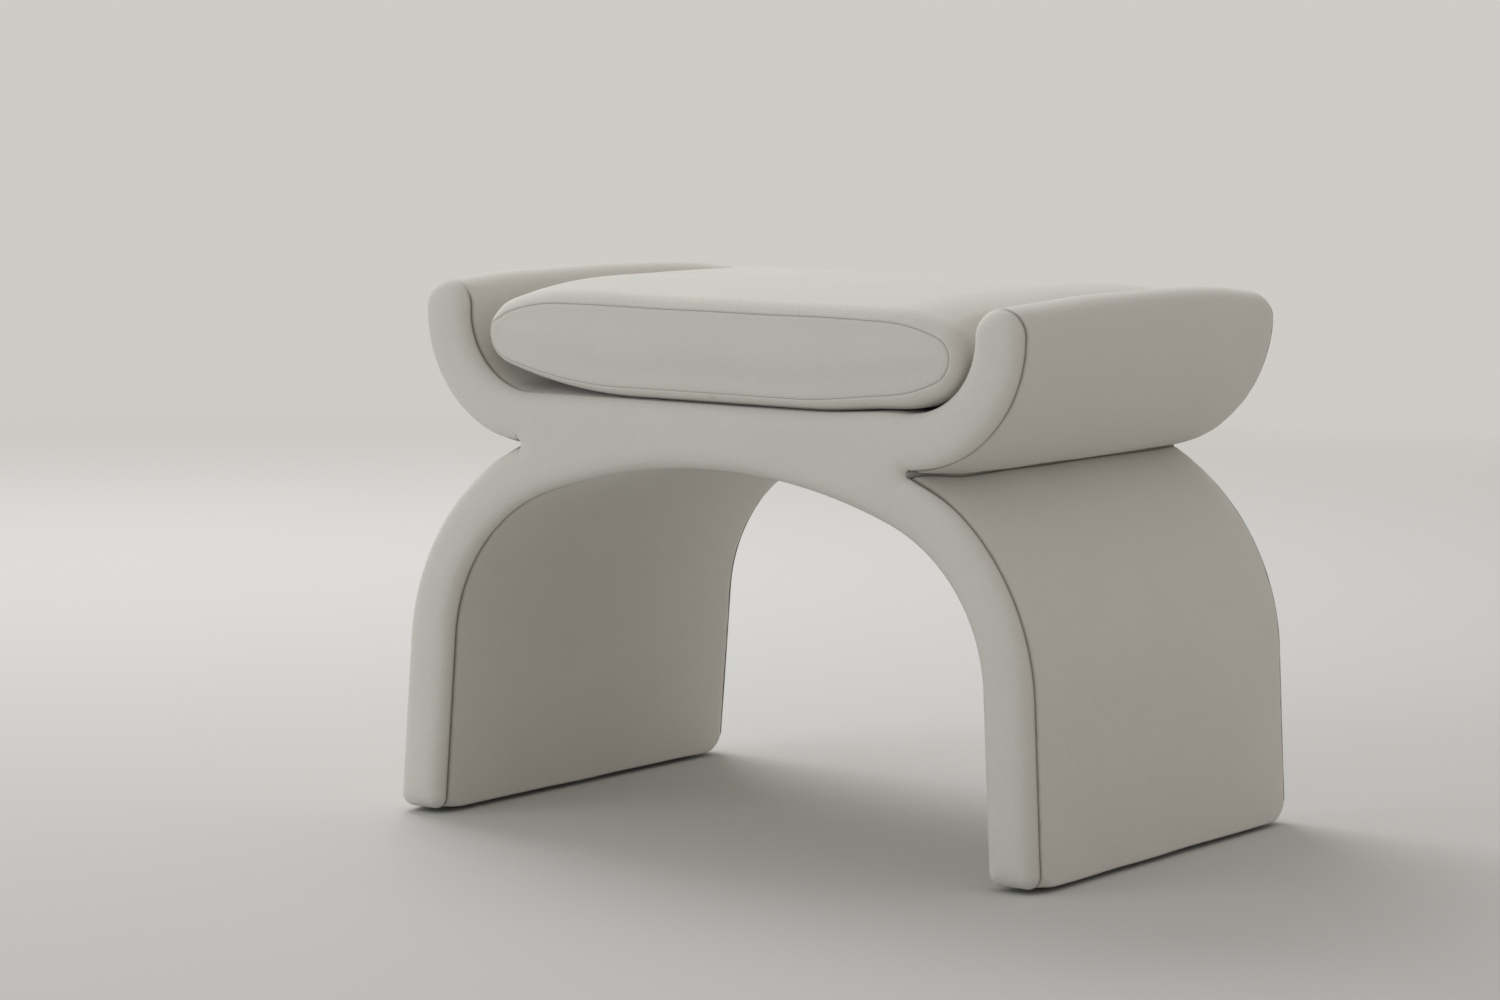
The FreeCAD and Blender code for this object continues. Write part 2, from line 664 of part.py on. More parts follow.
def cushion_stations(offset):
    """(depth, section offset, crown share) from the front cap to the middle of the cushion."""
    rounding = f"(sizes.cushion_edge_radius - ({offset}))"
    stations = []
    for angle in ROUNDING_ANGLES:
        depth = f"layout.cushion_end - ({offset}) - {rounding} * (1 - cos({angle}))"
        stations.append((depth, f"({offset}) + {rounding} * (1 - sin({angle}))", 0))
    for step in range(CROWN_STEPS + 1):
        share = 1 - step / CROWN_STEPS
        depth = f"layout.cushion_inner_end * {share}"
        stations.append((depth, offset, 1 - share ** 2))
    return stations


def cushion_form(name, offset):
    """The whole cushion at an offset inside its surface: a loft from cap to cap with rounded ends."""
    body = doc.addObject("PartDesign::Body", name)
    front_half = cushion_stations(offset)
    rear_half = [(f"-({depth})", inset, crown) for depth, inset, crown in front_half[-2::-1]]
    sections = []
    for number, (depth, inset, crown) in enumerate(front_half + rear_half):
        section = new_sketch(body, f"{name}_section_{number}", "XZ_Plane", depth)
        cushion_outline(section, inset, f"sizes.cushion_draw * {crown}",
                        f"sizes.cushion_crown * {crown}")
        sections.append(section)
    loft = body.newObject("PartDesign::AdditiveLoft", name + "_loft")
    loft.Profile = sections[0]
    loft.Sections = sections[1:]
    loft.Ruled = True
    doc.recompute()
    return body


cushion_outside = cushion_form("cushion_outside", "0")
cushion_inside = cushion_form("cushion_inside", "sizes.cover_thickness")
node(cushion_form("cushion_core", "layout.cushion_core_offset"))
cushion_shell = cut("cushion_shell", cushion_outside, cushion_inside)

cap_prism = doc.addObject("PartDesign::Body", "cap_prism")
cap_sketch = new_sketch(cap_prism, "cap_prism_outline", "XZ_Plane")
cushion_outline(cap_sketch, "sizes.cushion_cap_inset", "0", "0")
extrude(cap_prism, "Pad", "cap_prism_pad", cap_sketch, "2 * layout.reach")
for face, depth in beyond("layout.cushion_inner_end").items():
    block = box(face + "_cap_block", WHOLE, depth, WHOLE)
    node(shared("cushion_" + face + "_cap", [cushion_shell, cap_prism, block]))
node(cut("cushion_band", cushion_shell, cap_prism))

# Zip across the rear cap: a tape with its chain, and a slider that straddles the chain
zip_half = ("-sizes.zip_length / 2", "sizes.zip_length / 2")
tape_depth = ("layout.cushion_end", "layout.cushion_end + sizes.zip_tape_thickness")
tape = box("zip_tape_strip", zip_half, tape_depth,
           ("layout.zip_z - sizes.zip_width / 2", "layout.zip_z + sizes.zip_width / 2"))
chain = box("zip_chain", zip_half, (tape_depth[1], "layout.chain_top"),
            ("layout.zip_z - sizes.zip_chain_width / 2", "layout.zip_z + sizes.zip_chain_width / 2"))
node(joined("zip_tape", [tape, chain]))

slider_span = ("layout.slider_x - sizes.slider_length / 2", "layout.slider_x + sizes.slider_length / 2")
pull_roof = "layout.slider_roof + sizes.slider_wall"
slider_block = box("slider_block", slider_span, ("layout.slider_low", pull_roof),
                   ("layout.zip_z - layout.slider_half", "layout.zip_z + layout.slider_half"))
slider_channel = box("slider_channel", WHOLE, ("0", "layout.slider_roof"),
                     ("layout.zip_z - layout.slider_half + sizes.slider_wall",
                      "layout.zip_z + layout.slider_half - sizes.slider_wall"))
slider_shoe = cut("slider_shoe", slider_block, slider_channel)
pull = box("slider_pull",
           ("layout.slider_x - sizes.slider_length / 4", "layout.slider_x + sizes.slider_length / 4"),
           (pull_roof, f"{pull_roof} + sizes.pull_thickness"),
           ("layout.zip_z - sizes.pull_length", "layout.zip_z"))
node(joined("zip_slider", [slider_shoe, pull]))

# Every object has to be sound before anything is written
doc.recompute()
for thing in doc.Objects:
    if "Invalid" in thing.State or "Error" in thing.State:
        raise RuntimeError(f"{thing.Label} failed: {thing.State}")
os.makedirs("parts", exist_ok=True)
for piece in nodes:
    if piece.Shape.isNull() or not piece.Shape.isValid():
        raise RuntimeError(f"{piece.Label} has no sound shape")
    piece.Shape.exportStep(f"parts/{piece.Label}.step")
    print(piece.Label, len(piece.Shape.Solids), round(piece.Shape.Volume))
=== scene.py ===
"""Looks of an arched, upholstered stool with a loose seat cushion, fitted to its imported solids.

Metres, in the frame of the solids: origin on the floor under the middle, -Y to the front, Z up.
"""

import json
import logging
import math
from collections.abc import Callable
from dataclasses import dataclass, replace
from enum import Enum

import bmesh
import bpy
import numpy as np
from mathutils import Matrix, Vector, noise
from mathutils.geometry import delaunay_2d_cdt


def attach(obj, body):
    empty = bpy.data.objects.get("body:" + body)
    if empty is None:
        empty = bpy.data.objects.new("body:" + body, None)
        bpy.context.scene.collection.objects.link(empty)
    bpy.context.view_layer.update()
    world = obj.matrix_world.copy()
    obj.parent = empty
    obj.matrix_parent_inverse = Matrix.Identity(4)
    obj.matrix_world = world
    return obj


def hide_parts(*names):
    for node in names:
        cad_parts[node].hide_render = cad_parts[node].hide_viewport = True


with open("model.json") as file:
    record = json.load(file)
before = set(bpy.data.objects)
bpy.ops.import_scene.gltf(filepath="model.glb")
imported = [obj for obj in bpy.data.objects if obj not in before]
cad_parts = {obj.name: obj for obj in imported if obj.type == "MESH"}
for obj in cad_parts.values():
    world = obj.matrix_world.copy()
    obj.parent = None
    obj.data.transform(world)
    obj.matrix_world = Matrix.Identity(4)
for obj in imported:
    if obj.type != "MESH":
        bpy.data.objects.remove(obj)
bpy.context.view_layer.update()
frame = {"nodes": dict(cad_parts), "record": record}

Colour = tuple[float, float, float]
Size = tuple[float, float, float]
Place = tuple[float, float, float]
Ring = tuple[float, float, float]
Corners = tuple[int, ...]

LOG = logging.getLogger("arched_stool")
UV_NAME = "weave"
SEAM_SHADE_NAME = "seam"
SIDES = (("left", -1.0), ("right", 1.0))
SAME_PLACE = 1e-7
MOST_TURN = 0.12
ROLL_STEPS = 5
TINY = 1e-9


class Body(Enum):
    """The moving parts that new pieces ride on."""

    BASE = "base"
    CUSHION = "cushion"


class Slot(Enum):
    """The record's material slots of all that shows."""

    FABRIC = "cover_fabric"
    PLYWOOD = "plywood"
    STEEL = "fastener_steel"
    PLASTIC = "glide_plastic"
    DUST_CLOTH = "dust_cloth"
    ZIP_TAPE = "zip_tape"
    ZIP_METAL = "zip_metal"


class Face(Enum):
    """The two upright faces of the stool, by the sign of their depth."""

    FRONT = -1
    REAR = 1


# Sampled lines


@dataclass(frozen=True)
class Trace:
    """A sampled line in the XZ plane, with the unit normals that point out of the stool."""

    places: np.ndarray
    normals: np.ndarray

    def __add__(self, other: "Trace") -> "Trace":
        """This line followed by another, with a shared point kept once."""
        gap = np.linalg.norm(other.places[0] - self.places[-1])
        first = 1 if gap < SAME_PLACE else 0
        return Trace(
            np.vstack([self.places, other.places[first:]]),
            np.vstack([self.normals, other.normals[first:]]),
        )

    def mirrored(self) -> "Trace":
        """The line on the other side of the middle plane, run backwards."""
        flip = np.array([-1.0, 1.0])
        return Trace(self.places[::-1] * flip, self.normals[::-1] * flip)

    def closed(self) -> "Trace":
        """A half line from middle to middle, closed into a loop by its mirror image."""
        other = self.mirrored()
        return Trace(
            np.vstack([self.places, other.places[1:-1]]),
            np.vstack([self.normals, other.normals[1:-1]]),
        )

    def inset(self, depth: float | np.ndarray) -> np.ndarray:
        """The places moved into the stool by a depth for all or for each."""
        return self.places - self.normals * np.broadcast_to(depth, len(self.places))[:, None]

    def blended(self, other: "Trace", share: np.ndarray) -> "Trace":
        """A line between this one and another with as many places, by a share for each place."""
        part = share[:, None]
        normals = self.normals * (1 - part) + other.normals * part
        return Trace(
            self.places * (1 - part) + other.places * part,
            normals / np.linalg.norm(normals, axis=1)[:, None],
        )

    def runs(self) -> np.ndarray:
        """The length run up to each place."""
        steps = np.linalg.norm(np.diff(self.places, axis=0), axis=1)
        return np.concatenate([[0.0], np.cumsum(steps)])


def straight(start: np.ndarray, end: np.ndarray, count: int) -> Trace:
    """A straight line with the stool on its left, in a number of steps."""
    along = end - start
    shares = np.linspace(0.0, 1.0, count + 1)[:, None]
    normal = np.array([along[1], -along[0]]) / np.linalg.norm(along)
    return Trace(start + along * shares, np.repeat(normal[None], len(shares), axis=0))


def curved(centre: np.ndarray, radius: float | np.ndarray, angles: np.ndarray) -> Trace:
    """An arc with the stool on its left: hollow towards the centre if it runs clockwise.

    Args:
        centre: Middle of the arc.
        radius: One radius, or one for each angle.
        angles: The angles to sample, rising or falling.

    Returns:
        The sampled arc.
    """
    spokes = np.stack([np.cos(angles), np.sin(angles)], axis=1)
    reach = np.broadcast_to(radius, len(angles))[:, None]
    return Trace(centre + spokes * reach, spokes * np.sign(angles[-1] - angles[0]))


def spread(start: float, end: float, radius: float, step: float) -> np.ndarray:
    """Even angles of an arc, no further apart than a step along it or the most turn."""
    turn = abs(end - start)
    count = max(math.ceil(radius * turn / step), math.ceil(turn / MOST_TURN))
    return np.linspace(start, end, count + 1)


def rounded_corner(
    before: np.ndarray, corner: np.ndarray, after: np.ndarray, radius: float, count: int
) -> Trace:
    """The arc that rounds a corner which sticks out of the stool.

    Args:
        before: A place on the line into the corner.
        corner: Where the two lines would meet.
        after: A place on the line out of the corner.
        radius: Radius of the rounding.
        count: Number of steps.

    Returns:
        The sampled arc, tangent to both lines.
    """
    back = (before - corner) / np.linalg.norm(before - corner)
    ahead = (after - corner) / np.linalg.norm(after - corner)
    half = math.acos(float(np.dot(back, ahead))) / 2
    middle = (back + ahead) / np.linalg.norm(back + ahead)
    centre = corner + middle * radius / math.sin(half)
    entry = corner + back * radius / math.tan(half) - centre
    start = math.atan2(entry[1], entry[0])
    return curved(centre, radius, np.linspace(start, start + math.pi - 2 * half, count + 1))


def smooth(low: float | np.ndarray, high: float | np.ndarray, value: float | np.ndarray) -> np.ndarray:
    """A soft step from 0 at low to 1 at high."""
    share = np.clip((np.asarray(value, float) - low) / (high - low), 0.0, 1.0)
    return share * share * (3.0 - 2.0 * share)


def hump(value: np.ndarray, middle: float, reach: float) -> np.ndarray:
    """A soft hump of height 1 round a middle."""
    return np.exp(-((value - middle) / reach) ** 2)


def edge_roll(radius: float) -> list[tuple[float, float]]:
    """How a panel turns in by a quarter circle: (distance from its edge, depth) from the edge inwards."""
    angles = np.linspace(0.0, math.pi / 2, ROLL_STEPS + 1)[:-1]
    return [(radius * (1 - math.cos(a)), radius * (1 - math.sin(a))) for a in angles]


def end_turn(run: np.ndarray, radius: float) -> np.ndarray:
    """Depth of a quarter turn at the end of a panel, by the length run from that end."""
    return radius - np.sqrt(radius ** 2 - np.clip(radius - run, 0.0, radius) ** 2)


def unevenness(points: np.ndarray, wavelength: float) -> np.ndarray:
    """Smooth chance waves over space, from about -0.5 to 0.5, the same on each run."""
    return np.array([noise.noise(Vector(point / wavelength)) for point in points])


# Meshes


class Skin:
    """The points of a piece, gathered row by row with their places on the cloth and closeness to a seam."""

    def __init__(self) -> None:
        """Starts without points."""
        self.rows: list[np.ndarray] = []
        self.weave: list[np.ndarray] = []
        self.seams: list[np.ndarray] = []

    @property
    def points(self) -> np.ndarray:
        """All points so far."""
        return np.vstack(self.rows)

    @property
    def seam(self) -> np.ndarray:
        """Closeness to a seam of all points so far, from 0 to 1."""
        return np.concatenate(self.seams)

    def add(
        self,
        places: np.ndarray,
        depth: float | np.ndarray,
        seam: float | np.ndarray = 0.0,
        runs: np.ndarray | None = None,
    ) -> None:
        """Adds a row of points.

        Args:
            places: Their places in the front view.
            depth: Their depth, for all or for each.
            seam: Their closeness to a seam.
            runs: Their lengths along a panel whose cloth runs in depth. Without them the cloth lies in
                the front view.
        """
        depths = np.broadcast_to(depth, len(places))
        self.rows.append(np.stack([places[:, 0], depths, places[:, 1]], axis=1))
        self.weave.append(places if runs is None else np.stack([runs, depths], axis=1))
        self.seams.append(np.broadcast_to(seam, len(places)))

    def piece(self, name: str, points: np.ndarray, faces: list[Corners]) -> bpy.types.Object:
        """Makes a smooth piece.

        Args:
            name: The piece's name.
            points: The gathered points, as they lie in the end.
            faces: Corners of each face.

        Returns:
            The new object.
        """
        mesh = bpy.data.meshes.new(name)
        mesh.from_pydata([tuple(point) for point in points], [], faces)
        layer = mesh.uv_layers.new(name=UV_NAME)
        corners = np.zeros(len(mesh.loops), np.int32)
        mesh.loops.foreach_get("vertex_index", corners)
        layer.data.foreach_set("uv", np.vstack(self.weave).astype(np.float32)[corners].ravel())
        # Closeness to a seam, which the cloth's material turns into painted shade.
        closeness = mesh.attributes.new(SEAM_SHADE_NAME, "FLOAT", "POINT")
        closeness.data.foreach_set("value", self.seam.astype(np.float32))
        sheet = bmesh.new()
        sheet.from_mesh(mesh)
        bmesh.ops.recalc_face_normals(sheet, faces=sheet.faces)
        sheet.to_mesh(mesh)
        sheet.free()
        mesh.shade_smooth()
        piece = bpy.data.objects.new(name, mesh)
        bpy.context.scene.collection.objects.link(piece)
        return piece


def point_array(mesh: bpy.types.Mesh) -> np.ndarray:
    """The points of a mesh."""
    flat = np.zeros(3 * len(mesh.vertices), np.float32)
    mesh.vertices.foreach_get("co", flat)
    return flat.reshape(-1, 3).astype(float)


def grid_faces(columns: int, rows: int, closed: bool) -> list[Corners]:
    """Quads of a grid whose points are stored row by row, where each row may be a closed loop."""
    quads = []
    for first in range(0, (rows - 1) * columns, columns):
        for column in range(columns if closed else columns - 1):
            here = first + column
            beside = first + (column + 1) % columns
            quads.append((here, beside, beside + columns, here + columns))
    return quads


def fill_loop(loop: np.ndarray, spacing: float, margin: float) -> tuple[np.ndarray, list[Corners]]:
    """Triangles inside a loop, on an even lattice.

    Args:
        loop: Places of the loop in the XZ plane.
        spacing: Distance between lattice points.
        margin: Least distance of lattice points from the loop.

    Returns:
        The lattice points, and triangles that count the loop's places first and the lattice after.
    """
    low = loop.min(axis=0)
    high = loop.max(axis=0)
    pitch = spacing * math.sqrt(3) / 2
    lattice = []
    for row, z in enumerate(np.arange(low[1], high[1], pitch)):
        for x in np.arange(low[0] + (row % 2) * spacing / 2, high[0], spacing):
            lattice.append((x, z))
    lattice = np.array(lattice)
    lattice = lattice[inside(loop, lattice)]
    lattice = lattice[distance_to(loop, lattice) > margin]
    count = len(loop)
    edges = [(i, (i + 1) % count) for i in range(count)]
    points = np.vstack([loop, lattice])
    vectors = [Vector(point) for point in points]
    _, _, found, origins, _, _ = delaunay_2d_cdt(vectors, edges, [], 0, SAME_PLACE, True)
    triangles = np.array([[origins[corner][0] for corner in triangle] for triangle in found])
    kept = triangles[inside(loop, points[triangles].mean(axis=1))]
    return lattice, [tuple(int(corner) for corner in triangle) for triangle in kept]


def inside(loop: np.ndarray, points: np.ndarray) -> np.ndarray:
    """Which points lie inside a loop, by counting the edges to their right."""
    odd = np.zeros(len(points), bool)
    for (x0, z0), (x1, z1) in zip(loop, np.roll(loop, -1, axis=0)):
        if z0 == z1:
            continue
        spans = (z0 > points[:, 1]) != (z1 > points[:, 1])
        crossing = x0 + (points[:, 1] - z0) * (x1 - x0) / (z1 - z0)
        odd ^= spans & (points[:, 0] < crossing)
    return odd


def distance_to(loop: np.ndarray, points: np.ndarray) -> np.ndarray:
    """Distance of each point from the nearest edge of a loop."""
    nearest = np.full(len(points), np.inf)
    for start, end in zip(loop, np.roll(loop, -1, axis=0)):
        along = end - start
        size = max(float(along @ along), TINY ** 2)
        share = np.clip((points - start) @ along / size, 0.0, 1.0)[:, None]
        nearest = np.minimum(nearest, np.linalg.norm(points - start - along * share, axis=1))
    return nearest


def only(piece: bpy.types.Object) -> None:
    """Makes a piece the one selected and active object."""
    bpy.ops.object.select_all(action="DESELECT")
    piece.select_set(True)
    bpy.context.view_layer.objects.active = piece


def thicken(piece: bpy.types.Object, thickness: float) -> None:
    """Gives a sheet its whole thickness, upwards and downwards alike."""
    only(piece)
    wall = piece.modifiers.new("thickness", "SOLIDIFY")
    wall.thickness = thickness
    wall.offset = 0.0
    bpy.ops.object.modifier_apply(modifier=wall.name)


def dress(
    piece: bpy.types.Object,
    material: bpy.types.Material,
    body: Body,
    nodes: tuple[str, ...] = (),
) -> None:
    """Gives a piece its material and its place in the frame.

    Args:
        piece: The piece.
        material: What it is made of.
        body: What it rides on.
        nodes: The solids that it stands for.
    """
    piece.data.materials.append(material)
    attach(piece, body.value)
    if nodes:
        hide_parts(*nodes)
    LOG.info("%s: %d faces", piece.name, len(piece.data.polygons))


# Outline


@dataclass(frozen=True)
class StoolOutline:
    """Front view of the stool: the lines that its solids follow, with soft corners."""

    leg_span: float = 0.630
    leg_splay: float = math.radians(3.5)
    leg_straight: float = 0.150
    leg_thickness: float = 0.046
    waist_span: float = 0.396
    notch_radius: float = 0.0025
    arm_height: float = 0.455
    arm_span: float = 0.582
    arm_thickness: float = 0.045
    cradle_radius: float = 0.065
    arch_height: float = 0.311
    arch_rise: float = 0.156
    arch_side_radius: float = 0.143
    bridge_thickness: float = 0.054
    foot: float = 0.0038
    foot_rounding: float = 0.0032
    arm_bulge: float = 0.005
    bulge_end: float = math.radians(15)
    crease_radius: float = 0.0006
    crease_steps: int = 14
    corner_steps: int = 12
    sole_steps: int = 8
    knee_steps: int = 50
    arm_steps: int = 40
    fine: float = 0.0007
    fine_run: float = 0.007
    step: float = 0.004

    @property
    def lean(self) -> np.ndarray:
        """Normal of the outer leg."""
        return np.array([math.cos(self.leg_splay), math.sin(self.leg_splay)])

    @property
    def deck(self) -> float:
        """Height of the deck under the cushion."""
        return self.arch_height + self.bridge_thickness

    @property
    def tip_radius(self) -> float:
        """Radius of the arm's round end."""
        return self.arm_thickness / 2

    @property
    def tip(self) -> np.ndarray:
        """Centre of the arm's round end."""
        return np.array([self.arm_span / 2 - self.tip_radius, self.arm_height - self.tip_radius])

    @property
    def tip_angle(self) -> float:
        """Direction from the cradle's centre to the arm's end."""
        rise = self.tip[1] - self.deck - self.cradle_radius
        return math.asin(rise / (self.cradle_radius + self.tip_radius))

    @property
    def cradle(self) -> np.ndarray:
        """Centre of the bend between deck and arm."""
        reach = (self.cradle_radius + self.tip_radius) * math.cos(self.tip_angle)
        return np.array([self.tip[0] - reach, self.deck + self.cradle_radius])

    @property
    def arm_outer(self) -> float:
        """Radius of the arm's outer side."""
        return self.cradle_radius + self.arm_thickness

    def leg_x(self, height: float) -> float:
        """Half width across the outer legs at a height."""
        return self.leg_span / 2 - height * math.tan(self.leg_splay)

    def knee_circle(self) -> tuple[np.ndarray, float]:
        """Centre and radius of the outer curve from the knee up to the waist."""
        knee = np.array([self.leg_x(self.leg_straight), self.leg_straight])
        notch_x = self.waist_span / 2 + self.notch_radius
        drop = math.sqrt((self.arm_outer + self.notch_radius) ** 2 - (notch_x - self.cradle[0]) ** 2)
        way = np.array([notch_x, self.cradle[1] - drop]) - knee
        radius = (way @ way - self.notch_radius ** 2) / (2 * (self.notch_radius - way @ self.lean))
        return knee - radius * self.lean, float(radius)

    def crease(self) -> np.ndarray:
        """Where the leg's curve and the arm's swollen underside meet at the waist."""
        centre, radius = self.knee_circle()
        arm = self.arm_outer + self.arm_bulge
        way = self.cradle - centre
        span = float(np.linalg.norm(way))
        along = (radius ** 2 - arm ** 2 + span ** 2) / (2 * span)
        across = math.sqrt(radius ** 2 - along ** 2)
        unit = way / span
        return centre + unit * along + np.array([unit[1], -unit[0]]) * across

    def arch(self) -> Trace:
        """Half of the opening, from its crown down to the foot's corner."""
        width = self.leg_thickness / self.lean[0]
        spring_z = self.arch_height - self.arch_rise
        spring = np.array([self.leg_x(spring_z) - width, spring_z])
        side = spring - self.arch_side_radius * self.lean
        drop = side[1] - self.arch_height
        crown_sum = self.arch_side_radius ** 2 - side[0] ** 2 - drop ** 2
        crown = crown_sum / (2 * (drop + self.arch_side_radius))
        middle = np.array([0.0, self.arch_height - crown])
        haunch = math.atan2(side[1] - middle[1], side[0])
        shoulder = spread(haunch, self.leg_splay, self.arch_side_radius, self.step)
        corner = self.foot_corners()[0]
        return (
            curved(middle, crown, spread(math.pi / 2, haunch, crown, self.step))
            + curved(side, self.arch_side_radius, shoulder)
            + straight(spring, corner.places[0], math.ceil(spring_z / self.step))
            + corner
        )

    def foot_corners(self) -> tuple[Trace, Trace]:
        """The rounded inner and outer corners of the foot."""
        up = np.array([-math.tan(self.leg_splay), 1.0])
        outer = np.array([self.leg_x(self.foot), self.foot])
        inner = outer - [self.leg_thickness / self.lean[0], 0.0]
        return (
            rounded_corner(inner + up, inner, outer, self.foot_rounding, self.corner_steps),
            rounded_corner(inner, outer, outer + up, self.foot_rounding, self.corner_steps),
        )

    def sole(self) -> Trace:
        """The flat under the foot."""
        inner, outer = self.foot_corners()
        return straight(inner.places[-1], outer.places[0], self.sole_steps)

    def leg(self) -> Trace:
        """The outer leg, from the foot's corner up to the crease."""
        centre, radius = self.knee_circle()
        knee = centre + radius * self.lean
        way = self.crease() - centre
        end = math.atan2(way[1], way[0])
        near = end - self.fine_run / radius
        corner = self.foot_corners()[1]
        return (
            corner
            + straight(corner.places[-1], knee, math.ceil(self.leg_straight / self.step))
            + curved(centre, radius, np.linspace(self.leg_splay, near, self.knee_steps + 1))
            + curved(centre, radius, spread(near, end, radius, self.fine))
        )

    def fold(self) -> Trace:
        """The bottom of the crease, where the normals fan round."""
        centre, _ = self.knee_circle()
        crease = self.crease()
        leg_way = centre - crease
        arm_way = self.cradle - crease
        start = math.atan2(leg_way[1], leg_way[0]) + math.tau
        end = math.atan2(arm_way[1], arm_way[0])
        return curved(crease, self.crease_radius, np.linspace(start, end, self.crease_steps + 1))

    def arm(self) -> Trace:
        """Half of the upper side, from the crease round the arm and down to the middle of the deck."""
        way = self.crease() - self.cradle
        start = math.atan2(way[1], way[0])
        near = start + self.fine_run / self.arm_outer
        lower = spread(start, near, self.arm_outer, self.fine)
        upper = np.linspace(near, self.tip_angle, self.arm_steps + 1)
        angles = np.concatenate([lower, upper[1:]])
        swell = 1.0 - smooth(start, self.tip_angle - self.bulge_end, angles)
        over = spread(self.tip_angle, self.tip_angle + math.pi, self.tip_radius, self.step)
        down = spread(self.tip_angle, -math.pi / 2, self.cradle_radius, self.step)
        deck_start = np.array([self.cradle[0], self.deck])
        return (
            curved(self.cradle, self.arm_outer + self.arm_bulge * swell, angles)
            + curved(self.tip, self.tip_radius, over)
            + curved(self.cradle, self.cradle_radius, down)
            + straight(deck_start, np.array([0.0, self.deck]), math.ceil(deck_start[0] / self.step))
        )

    def rim(self) -> Trace:
        """The closed outline of the front and rear faces."""
        return (self.arch() + self.sole() + self.leg() + self.fold() + self.arm()).closed()


# Shader boards


class Field:
    """A number or colour that varies over a surface, joined by Python's own arithmetic."""

    def __init__(self, board: "Board", socket: bpy.types.NodeSocket) -> None:
        """Wraps one socket of a board."""
        self.board = board
        self.socket = socket

    def joined(self, operation: str, other: "Field | float" = 0.0) -> "Field":
        """One Math node on this value and another."""
        return self.board.add("ShaderNodeMath", {"operation": operation}, {0: self, 1: other})

    def __add__(self, other: "Field | float") -> "Field":
        """Sum."""
        return self.joined("ADD", other)

    def __mul__(self, other: "Field | float") -> "Field":
        """Product."""
        return self.joined("MULTIPLY", other)

    __radd__ = __add__
    __rmul__ = __mul__

    def __abs__(self) -> "Field":
        """Size without sign."""
        return self.joined("ABSOLUTE")

    def sine(self) -> "Field":
        """Sine of an angle in radians."""
        return self.joined("SINE")


class Board:
    """The node tree of one material."""

    MIXED_COLOURS = (6, 7)
    MIX_RESULT = 2

    def __init__(self, name: str) -> None:
        """Starts a material with a bare surface shader."""
        self.material = bpy.data.materials.new(name)
        self.material.use_nodes = True
        self.tree = self.material.node_tree
        self.shader = self.tree.nodes["Principled BSDF"]

    def add(
        self, kind: str, settings: dict[str, object], inputs: dict[str | int, object], output: str | int = 0
    ) -> Field:
        """One node of any kind.

        Args:
            kind: The node's type.
            settings: Its own settings, set first.
            inputs: Values or fields for its sockets.
            output: The socket to read.

        Returns:
            The chosen output.
        """
        node = self.tree.nodes.new(kind)
        for setting, value in settings.items():
            setattr(node, setting, value)
        for socket, value in inputs.items():
            self.feed(node.inputs[socket], value)
        return Field(self, node.outputs[output])

    def feed(self, socket: bpy.types.NodeSocket, value: object) -> None:
        """Links a field to a socket, or sets the socket's own value."""
        if isinstance(value, Field):
            self.tree.links.new(value.socket, socket)
        else:
            socket.default_value = value

    def surface(self, **inputs: object) -> bpy.types.Material:
        """Feeds the surface shader with values or fields by socket name, with _ for a space."""
        for name, value in inputs.items():
            self.feed(self.shader.inputs[name.replace("_", " ")], value)
        return self.material

    def coordinates(self, output: str) -> Field:
        """Object or UV coordinates."""
        return self.add("ShaderNodeTexCoord", {}, {}, output)

    def scaled(self, vector: Field, scale: Size) -> Field:
        """Coordinates stretched by a factor for each axis."""
        return self.add("ShaderNodeMapping", {}, {"Vector": vector, "Scale": scale})

    def parts(self, vector: Field) -> tuple[Field, Field, Field]:
        """The three numbers of a vector."""
        split = self.add("ShaderNodeSeparateXYZ", {}, {"Vector": vector}).socket.node
        return tuple(Field(self, split.outputs[axis]) for axis in "XYZ")

    def cloud(self, vector: Field, scale: float, detail: float, roughness: float = 0.55) -> Field:
        """Noise from 0 to 1."""
        inputs = {"Vector": vector, "Scale": scale, "Detail": detail, "Roughness": roughness}
        return self.add("ShaderNodeTexNoise", {}, inputs, "Fac")

    def ramp(self, value: Field, *stops: tuple[float, Colour]) -> Field:
        """A colour read from a value between two stops."""
        field = self.add("ShaderNodeValToRGB", {}, {"Fac": value}, "Color")
        for element, (place, colour) in zip(field.socket.node.color_ramp.elements, stops):
            element.position = place
            element.color = (*colour, 1.0)
        return field

    def tinted(self, share: Field, first: Field, second: Colour) -> Field:
        """A colour drawn towards another by a share."""
        start, end = self.MIXED_COLOURS
        inputs = {"Factor": share, start: first, end: (*second, 1.0)}
        return self.add("ShaderNodeMix", {"data_type": "RGBA"}, inputs, self.MIX_RESULT)

    def bump(self, height: Field, strength: float, distance: float) -> Field:
        """A normal bent by a height in metres times the distance."""
        inputs = {"Height": height, "Strength": strength, "Distance": distance}
        return self.add("ShaderNodeBump", {}, inputs, "Normal")


# Finishes


